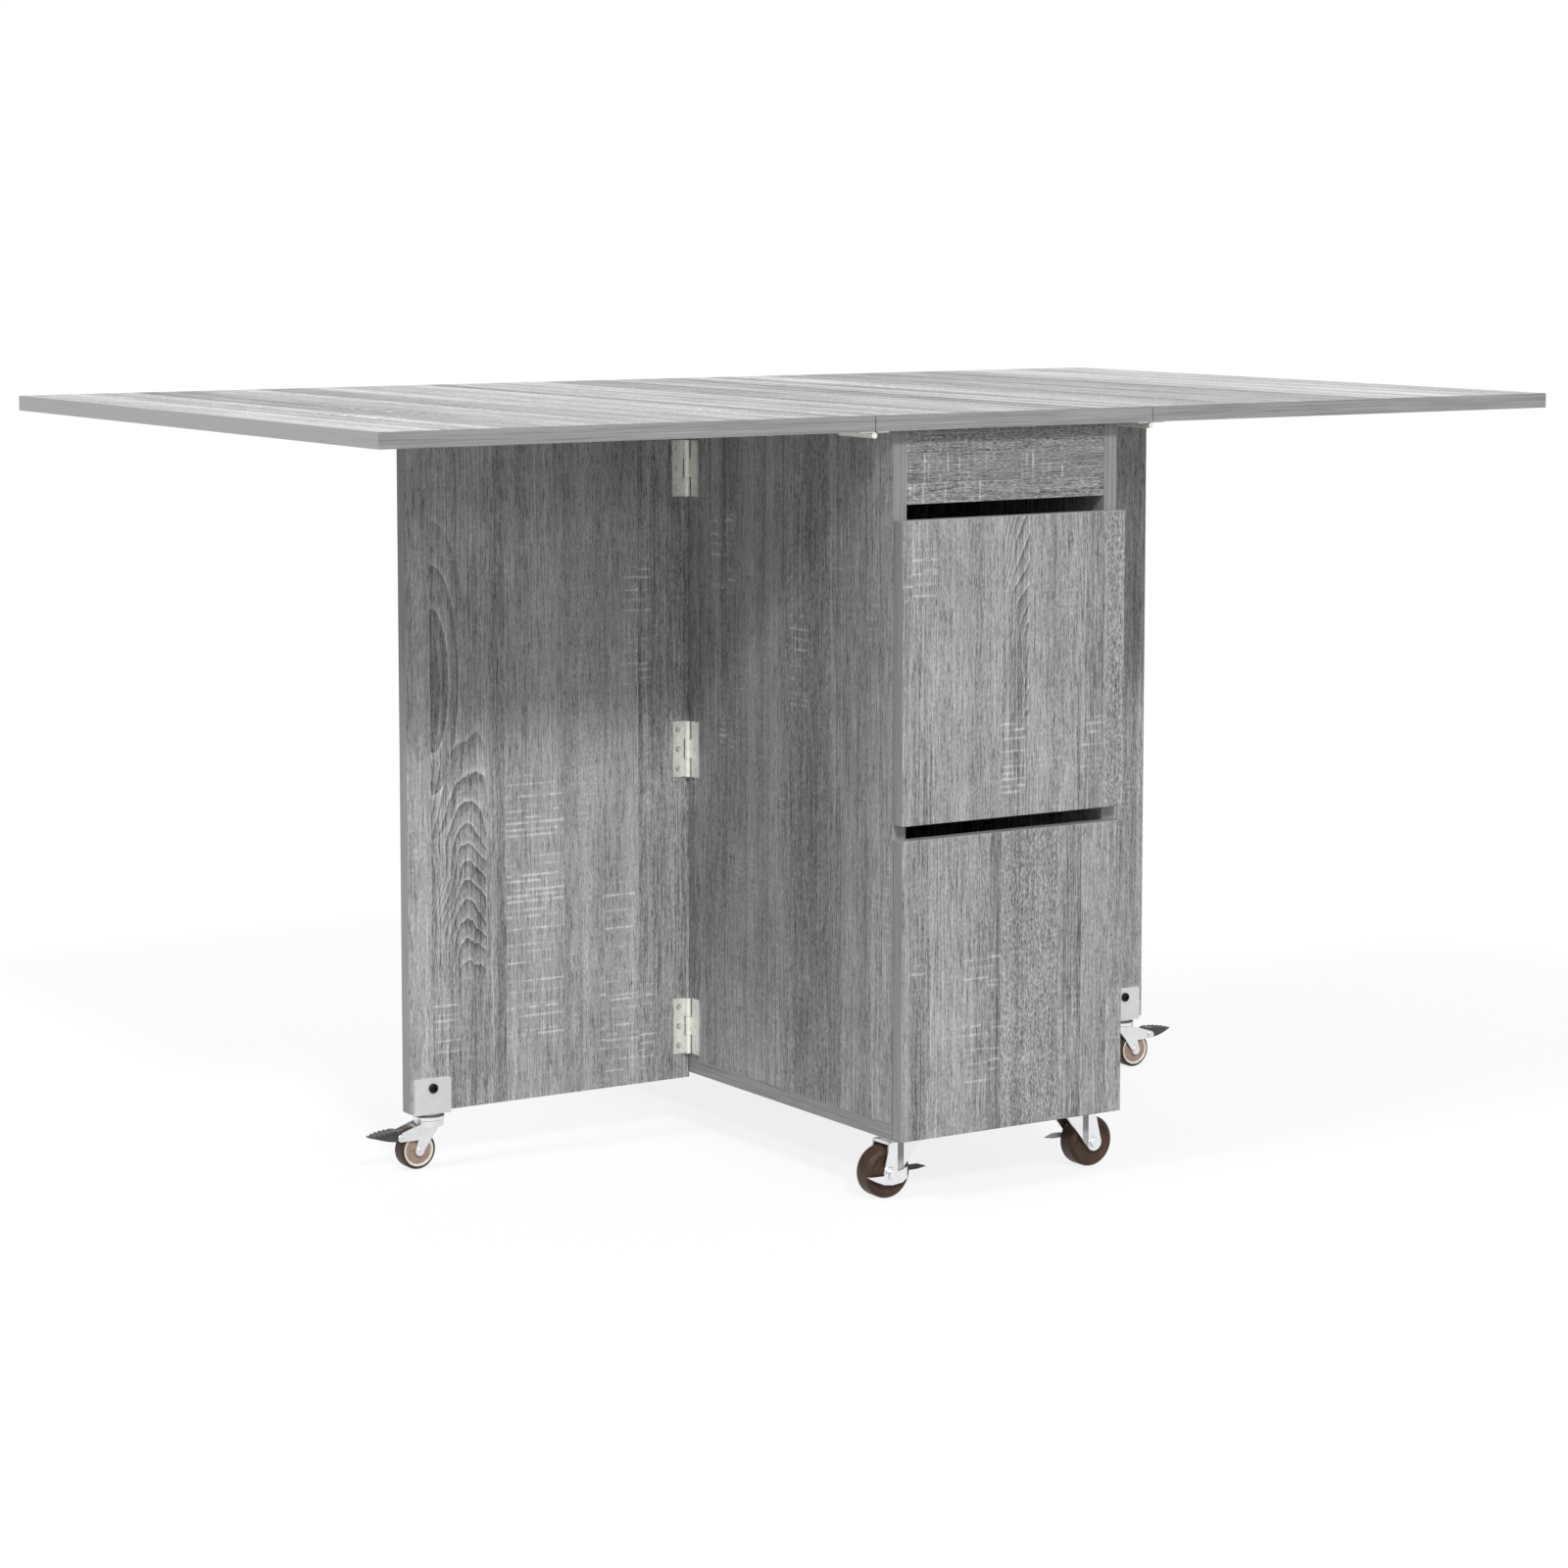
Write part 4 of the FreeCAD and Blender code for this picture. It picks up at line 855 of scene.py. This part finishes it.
LEFT_SIDE = {
    "strips": (
        (-0.384, 0.55, 0.1, 0.4),
        (-0.278, 0.42, 0.4, 0.5),
        (-0.200, 0.54, 0.1, 0.5),
        (-0.090, 0.40, 0.2, 0.6),
        (-0.060, 0.50, 0.1, 0.3),
        (0.020, 0.42, 0.1, 0.6),
        (0.080, 0.58, 0.2, 0.3),
        (0.170, 0.46, 0.6, 0.5),
        (0.220, 0.52, 0.1, 0.7),
        (0.310, 0.40, 0.2, 0.4),
    ),
    "patches": (
        (-0.104, -0.061, 0.560, 0.645),
        (-0.302, -0.278, 0.580, 0.610),
        (-0.238, -0.205, 0.460, 0.550),
        (-0.104, -0.076, 0.405, 0.425),
        (0.080, 0.170, 0.210, 0.330),
    ),
}
FRONT_RAIL = {
    "strips": (
        (0.660, 0.50, 0.7, 0.4),
        (0.684, 0.46, 0.3, 0.5),
        (0.712, 0.54, 0.8, 0.3),
    ),
    "patches": (
        (0.660, 0.712, -0.120, -0.020),
        (0.684, 0.712, 0.020, 0.075),
    ),
}

# Boards: node, axis along the grain, axis through the board, seed of the dice, figure and tone
BOARDS = (
    ("centre_top", Y, Z, 3, {"streak": 2.6, "lift": 0.01}),
    ("left_leaf", Y, Z, 11, {"streak": 1.7, "lift": 0.02, "side_lift": 0.30}),
    ("right_leaf", Y, Z, 23, {"streak": 2.0, "lift": -0.02, "side_lift": 0.30}),
    # Painted shade: a lift of -0.07 makes the left side panel's print darker than the right one's, for the
    # shade of the leaf above it
    ("left_side_panel", Z, X, 31, {"lift": -0.07, **LEFT_SIDE}),
    ("right_side_panel", Z, X, 37, {}),
    ("bottom_panel", Y, Z, 41, {}),
    ("back_panel", Z, Y, 47, {}),
    ("front_rail", X, Y, 53, {"streak": 0.7, "lift": -0.17, **FRONT_RAIL}),
    ("upper_drawer_front", Z, Y, 59, {"lift": -0.02, **UPPER_FRONT}),
    ("lower_drawer_front", Z, Y, 61, {"lift": -0.06, **LOWER_FRONT}),
    ("left_gate_panel", Z, Y, 71, LEFT_GATE),
    ("right_gate_panel", Z, Y, 83, {"lift": -0.01}),
)


def finish_boards():
    for node, along, through, seed, figure in BOARDS:
        paint(node, oak_board(node, along, through, seed, **figure))
        soften(node, BOARD_ROUNDING)


def finish_drawers():
    melamine = drawer_melamine("drawer_melamine")
    for drawer in ("upper_drawer", "lower_drawer"):
        for part in ("sides", "back", "bottom"):
            paint(f"{drawer}_{part}", melamine)
            soften(f"{drawer}_{part}", MELAMINE_ROUNDING)
    paint("joining_dowels", beech("beech"))


def finish_hinges():
    zinc = plated_steel("zinc", ZINC_DARK, ZINC_LIGHT, ZINC_ROUGHNESS)
    for place in ("leaf", "gate"):
        paint(f"{place}_hinge_fixed_plates", zinc)
        paint(f"{place}_hinge_pins", zinc)
        for side in SIDES:
            paint(f"{side}_{place}_hinge_plates", zinc)
    for screws in ("cabinet_screws", "left_leaf_screws", "right_leaf_screws"):
        paint(screws, zinc)


def finish_rails():
    drawn = plated_steel("drawn_steel", DRAWN_DARK, DRAWN_LIGHT, DRAWN_ROUGHNESS)
    for node in ("top_angle_brackets", "cabinet_slide_rails", "upper_drawer_slides", "lower_drawer_slides"):
        paint(node, drawn)


def finish_gate_feet():
    for side in SIDES:
        fasteners = f"{side}_gate_fasteners"
        paint(fasteners, zinc_with_coat_or_painted_shade(fasteners, SCREW_ZINC, BOLT_BLACK, X, BRACKET_BOLT_SPAN))
        bracket = f"{side}_gate_bracket"
        paint(bracket, painted_bracket(f"{bracket}_paint"))
        soften(bracket, BRACKET_ROUNDING)
        head = f"{side}_gate_swivel_head"
        # Painted shade on the swivel head: a dark grey ring round its neck, under the bracket
        paint(head, zinc_with_coat_or_painted_shade(head, BRIGHT_ZINC, NECK_PAINTED_SHADE, Z, SWIVEL_NECK_SHADE_SPAN))
        soften(head, METAL_ROUNDING)


def finish_caster_metal():
    bright = plated_steel("bright_zinc", BRIGHT_DARK, BRIGHT_ZINC, BRIGHT_ROUGHNESS)
    for node in ("caster_plates", "left_gate_caster_fork", "right_gate_caster_fork"):
        paint(node, bright)
        soften(node, METAL_ROUNDING)
    for corner in CORNERS:
        fork = f"{corner}_caster_fork"
        # Painted shade: a grey band down each leg, in its crease
        paint(fork, zinc_with_coat_or_painted_shade(fork, BRIGHT_ZINC, GROOVE_PAINTED_SHADE, X, LEG_GROOVE_SHADE_SPAN))
        soften(fork, METAL_ROUNDING)
    # Painted shade on each lever's far tip, darker on the left lever than on the right
    for side, tip_shade in LEVER_TIP_PAINTED_SHADES.items():
        lever = f"front_{side}_brake_lever"
        paint(lever, zinc_with_coat_or_painted_shade(lever, BRIGHT_ZINC, tip_shade, X, LEVER_TIP_SHADE_SPAN))
        soften(lever, METAL_ROUNDING)


def finish_wheels():
    for corner in CORNERS:
        wheel = f"{corner}_caster_wheel"
        paint(wheel, brown_rubber(f"{corner}_wheel_rubber", PIVOTS[f"{corner}_wheel_spin"]))
        soften(wheel, TREAD_ROUNDING)
    for side in SIDES:
        axle = PIVOTS[f"{side}_gate_wheel_spin"]
        tyre = f"{side}_gate_caster_tyre"
        paint(tyre, brown_rubber(f"{side}_gate_tyre_rubber", axle))
        soften(tyre, TYRE_ROUNDING)
        hub = f"{side}_gate_caster_hub"
        paint(hub, hub_plastic(f"{side}_gate_hub_plastic", axle))
        soften(hub, HUB_ROUNDING)


# Ribbed brake pedals of the gate casters, in millimetres outwards from the pin and up from it

PEDAL_TOP = (
    (-4.0, 2.0),
    (-2.5, 5.0),
    (0.0, 6.4),
    (4.0, 6.9),
    (10.0, 6.9),
    (16.0, 6.4),
    (22.0, 5.6),
    (28.0, 4.6),
    (32.3, 3.4),
)
PEDAL_UNDER = (
    (-4.0, -1.0),
    (2.2, -3.9),
    (5.0, -3.9),
    (9.0, -3.4),
    (14.0, -2.4),
    (20.0, -0.8),
    (26.0, 1.0),
    (32.3, 2.6),
)
PEDAL_HEEL = PEDAL_TOP[0][0]
PEDAL_TIP = PEDAL_TOP[-1][0]
PEDAL_STATION = 0.45
PEDAL_HALF_WIDTH = 8.4
PEDAL_SHOULDER = 8.0
PEDAL_LEAF_LENGTH = 26.0
PEDAL_EDGE = 0.8
MOST_EDGE_SHARE = 0.4
PIN_SLOT_HALF = 2.2
PIN_SLOT_RADIUS = 2.3
RIB_PITCH = 5.0
RIB_DEPTH = 1.0
RIB_START = 6.0
RIB_END = 31.0


def between(points, place):
    """Height at a place of a line through points that are listed from left to right."""
    for (start, low), (end, high) in zip(points, points[1:]):
        if place <= end:
            return low + (high - low) * (place - start) / (end - start)
    return points[-1][1]


def pedal_section(place):
    """Corners of the pedal's cross-section at one place, as width and height."""
    top = between(PEDAL_TOP, place)
    if RIB_START < place < RIB_END:
        top -= RIB_DEPTH * (0.5 - 0.5 * math.cos(2.0 * math.pi * (place - RIB_START) / RIB_PITCH))
    under = between(PEDAL_UNDER, place)
    if abs(place) < PIN_SLOT_HALF:
        under = math.sqrt(PIN_SLOT_RADIUS**2 - place**2)
    half = PEDAL_HALF_WIDTH
    if place > PEDAL_SHOULDER:
        half *= math.sqrt(max(0.0, 1.0 - ((place - PEDAL_SHOULDER) / PEDAL_LEAF_LENGTH) ** 2))
    edge = min(PEDAL_EDGE, MOST_EDGE_SHARE * (top - under), MOST_EDGE_SHARE * half)
    return (
        (-half, under + edge),
        (-half, top - edge),
        (-half + edge, top),
        (half - edge, top),
        (half, top - edge),
        (half, under + edge),
        (half - edge, under),
        (-half + edge, under),
    )


def pedal_mesh(name, pivot, sign):
    """Skin over the pedal's cross-sections, from its heel to its tip."""
    count = round((PEDAL_TIP - PEDAL_HEEL) / PEDAL_STATION)
    places = [PEDAL_HEEL + (PEDAL_TIP - PEDAL_HEEL) * step / count for step in range(count + 1)]
    skin = bmesh.new()
    rings = []
    for place in places:
        corners = [Vector((sign * place, width, height)) * MM for width, height in pedal_section(place)]
        rings.append([skin.verts.new(pivot + corner) for corner in corners])
    for ring, following in zip(rings, rings[1:]):
        for corner, vertex in enumerate(ring):
            skin.faces.new((ring[corner - 1], vertex, following[corner], following[corner - 1]))
    skin.faces.new(rings[0])
    skin.faces.new(rings[-1])
    bmesh.ops.recalc_face_normals(skin, faces=skin.faces)
    mesh = bpy.data.meshes.new(name)
    skin.to_mesh(mesh)
    skin.free()
    return mesh


def make_pedals():
    """A black leaf with ribs across it, over the pin of each gate caster's brake."""
    black = moulded_black("moulded_black")
    for side, sign in SIDES.items():
        name = f"{side}_pedal_leaf"
        mesh = pedal_mesh(name, PIVOTS[f"{side}_gate_brake_press"], sign)
        mesh.materials.append(black)
        pedal = bpy.data.objects.new(name, mesh)
        bpy.context.scene.collection.objects.link(pedal)
        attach(pedal, f"{side}_gate_pedal")
        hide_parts(f"{side}_gate_caster_pedal")


# Floor, light and camera


def light_path_share(tree):
    """1 for what the camera sees directly, in a mirror or through glass, and 0 for light on the object."""
    path = tree.nodes.new("ShaderNodeLightPath")
    share = path.outputs["Is Camera Ray"]
    for word in ("Is Glossy Ray", "Is Transmission Ray"):
        either = tree.nodes.new("ShaderNodeMath")
        either.operation = "MAXIMUM"
        tree.links.new(share, either.inputs[0])
        tree.links.new(path.outputs[word], either.inputs[1])
        share = either.outputs[0]
    return share


def join_by_light_path(tree, lighting, seen, output_kind):
    """Ends a node tree with one shader that lights the object and another that is seen in its place."""
    choose = tree.nodes.new("ShaderNodeMixShader")
    tree.links.new(light_path_share(tree), choose.inputs[0])
    tree.links.new(lighting.outputs[0], choose.inputs[1])
    tree.links.new(seen.outputs[0], choose.inputs[2])
    output = tree.nodes.new(output_kind)
    tree.links.new(choose.outputs[0], output.inputs["Surface"])


def floor_white():
    """White that keeps a faint shadow where it is seen, and throws back less light than it shows."""
    material = bpy.data.materials.new("floor_white")
    material.use_nodes = True
    tree = material.node_tree
    tree.nodes.clear()
    bounce = tree.nodes.new("ShaderNodeBsdfDiffuse")
    bounce.inputs["Color"].default_value = opaque(grey(FLOOR_BOUNCE))
    coat = tree.nodes.new("ShaderNodeBsdfDiffuse")
    coat.inputs["Color"].default_value = opaque(grey(FLOOR_PAINT))
    glow = tree.nodes.new("ShaderNodeEmission")
    glow.inputs["Strength"].default_value = FLOOR_GLOW
    seen = tree.nodes.new("ShaderNodeAddShader")
    tree.links.new(coat.outputs[0], seen.inputs[0])
    tree.links.new(glow.outputs[0], seen.inputs[1])
    join_by_light_path(tree, bounce, seen, "ShaderNodeOutputMaterial")
    return material


def make_floor():
    mesh = bpy.data.meshes.new("floor")
    half = FLOOR_HALF
    corners = [(-half, -half, 0.0), (half, -half, 0.0), (half, half, 0.0), (-half, half, 0.0)]
    mesh.from_pydata(corners, [], [(0, 1, 2, 3)])
    mesh.materials.append(floor_white())
    floor = bpy.data.objects.new("floor", mesh)
    floor.location.z = -FLOOR_DROP
    bpy.context.scene.collection.objects.link(floor)


def make_world():
    """Even light from all sides, seen as plain white."""
    world = bpy.data.worlds.new("studio")
    world.use_nodes = True
    tree = world.node_tree
    tree.nodes.clear()
    light = tree.nodes.new("ShaderNodeBackground")
    light.inputs["Strength"].default_value = WORLD_LIGHT
    white = tree.nodes.new("ShaderNodeBackground")
    for background in (light, white):
        background.inputs["Color"].default_value = opaque(grey(1.0))
    join_by_light_path(tree, light, white, "ShaderNodeOutputWorld")
    bpy.context.scene.world = world


def make_lamps():
    for name, (towards, level, width) in LAMPS.items():
        lamp = bpy.data.lights.new(name, "SUN")
        lamp.energy = level * math.pi
        lamp.angle = math.radians(width)
        holder = bpy.data.objects.new(name, lamp)
        holder.rotation_mode = "QUATERNION"
        holder.rotation_quaternion = Vector(towards).to_track_quat("Z", "Y")
        holder.location = Vector(towards).normalized() * LAMP_DISTANCE
        bpy.context.scene.collection.objects.link(holder)


def make_camera():
    camera = bpy.data.cameras.new("camera")
    camera.sensor_width = SENSOR_MM
    camera.lens = SENSOR_MM * FRAME_WIDTHS_OF_FOCUS
    camera.shift_y = CAMERA_SHIFT
    camera.clip_end = CAMERA_REACH
    holder = bpy.data.objects.new("camera", camera)
    holder.location = CAMERA_PLACE
    holder.rotation_euler = (math.pi / 2 - CAMERA_PITCH, 0.0, -CAMERA_YAW)
    bpy.context.scene.collection.objects.link(holder)
    bpy.context.scene.camera = holder


finish_boards()
finish_drawers()
finish_hinges()
finish_rails()
finish_gate_feet()
finish_caster_metal()
finish_wheels()
make_pedals()
make_floor()
make_world()
make_lamps()
make_camera()
bpy.context.scene.view_settings.view_transform = "Standard"
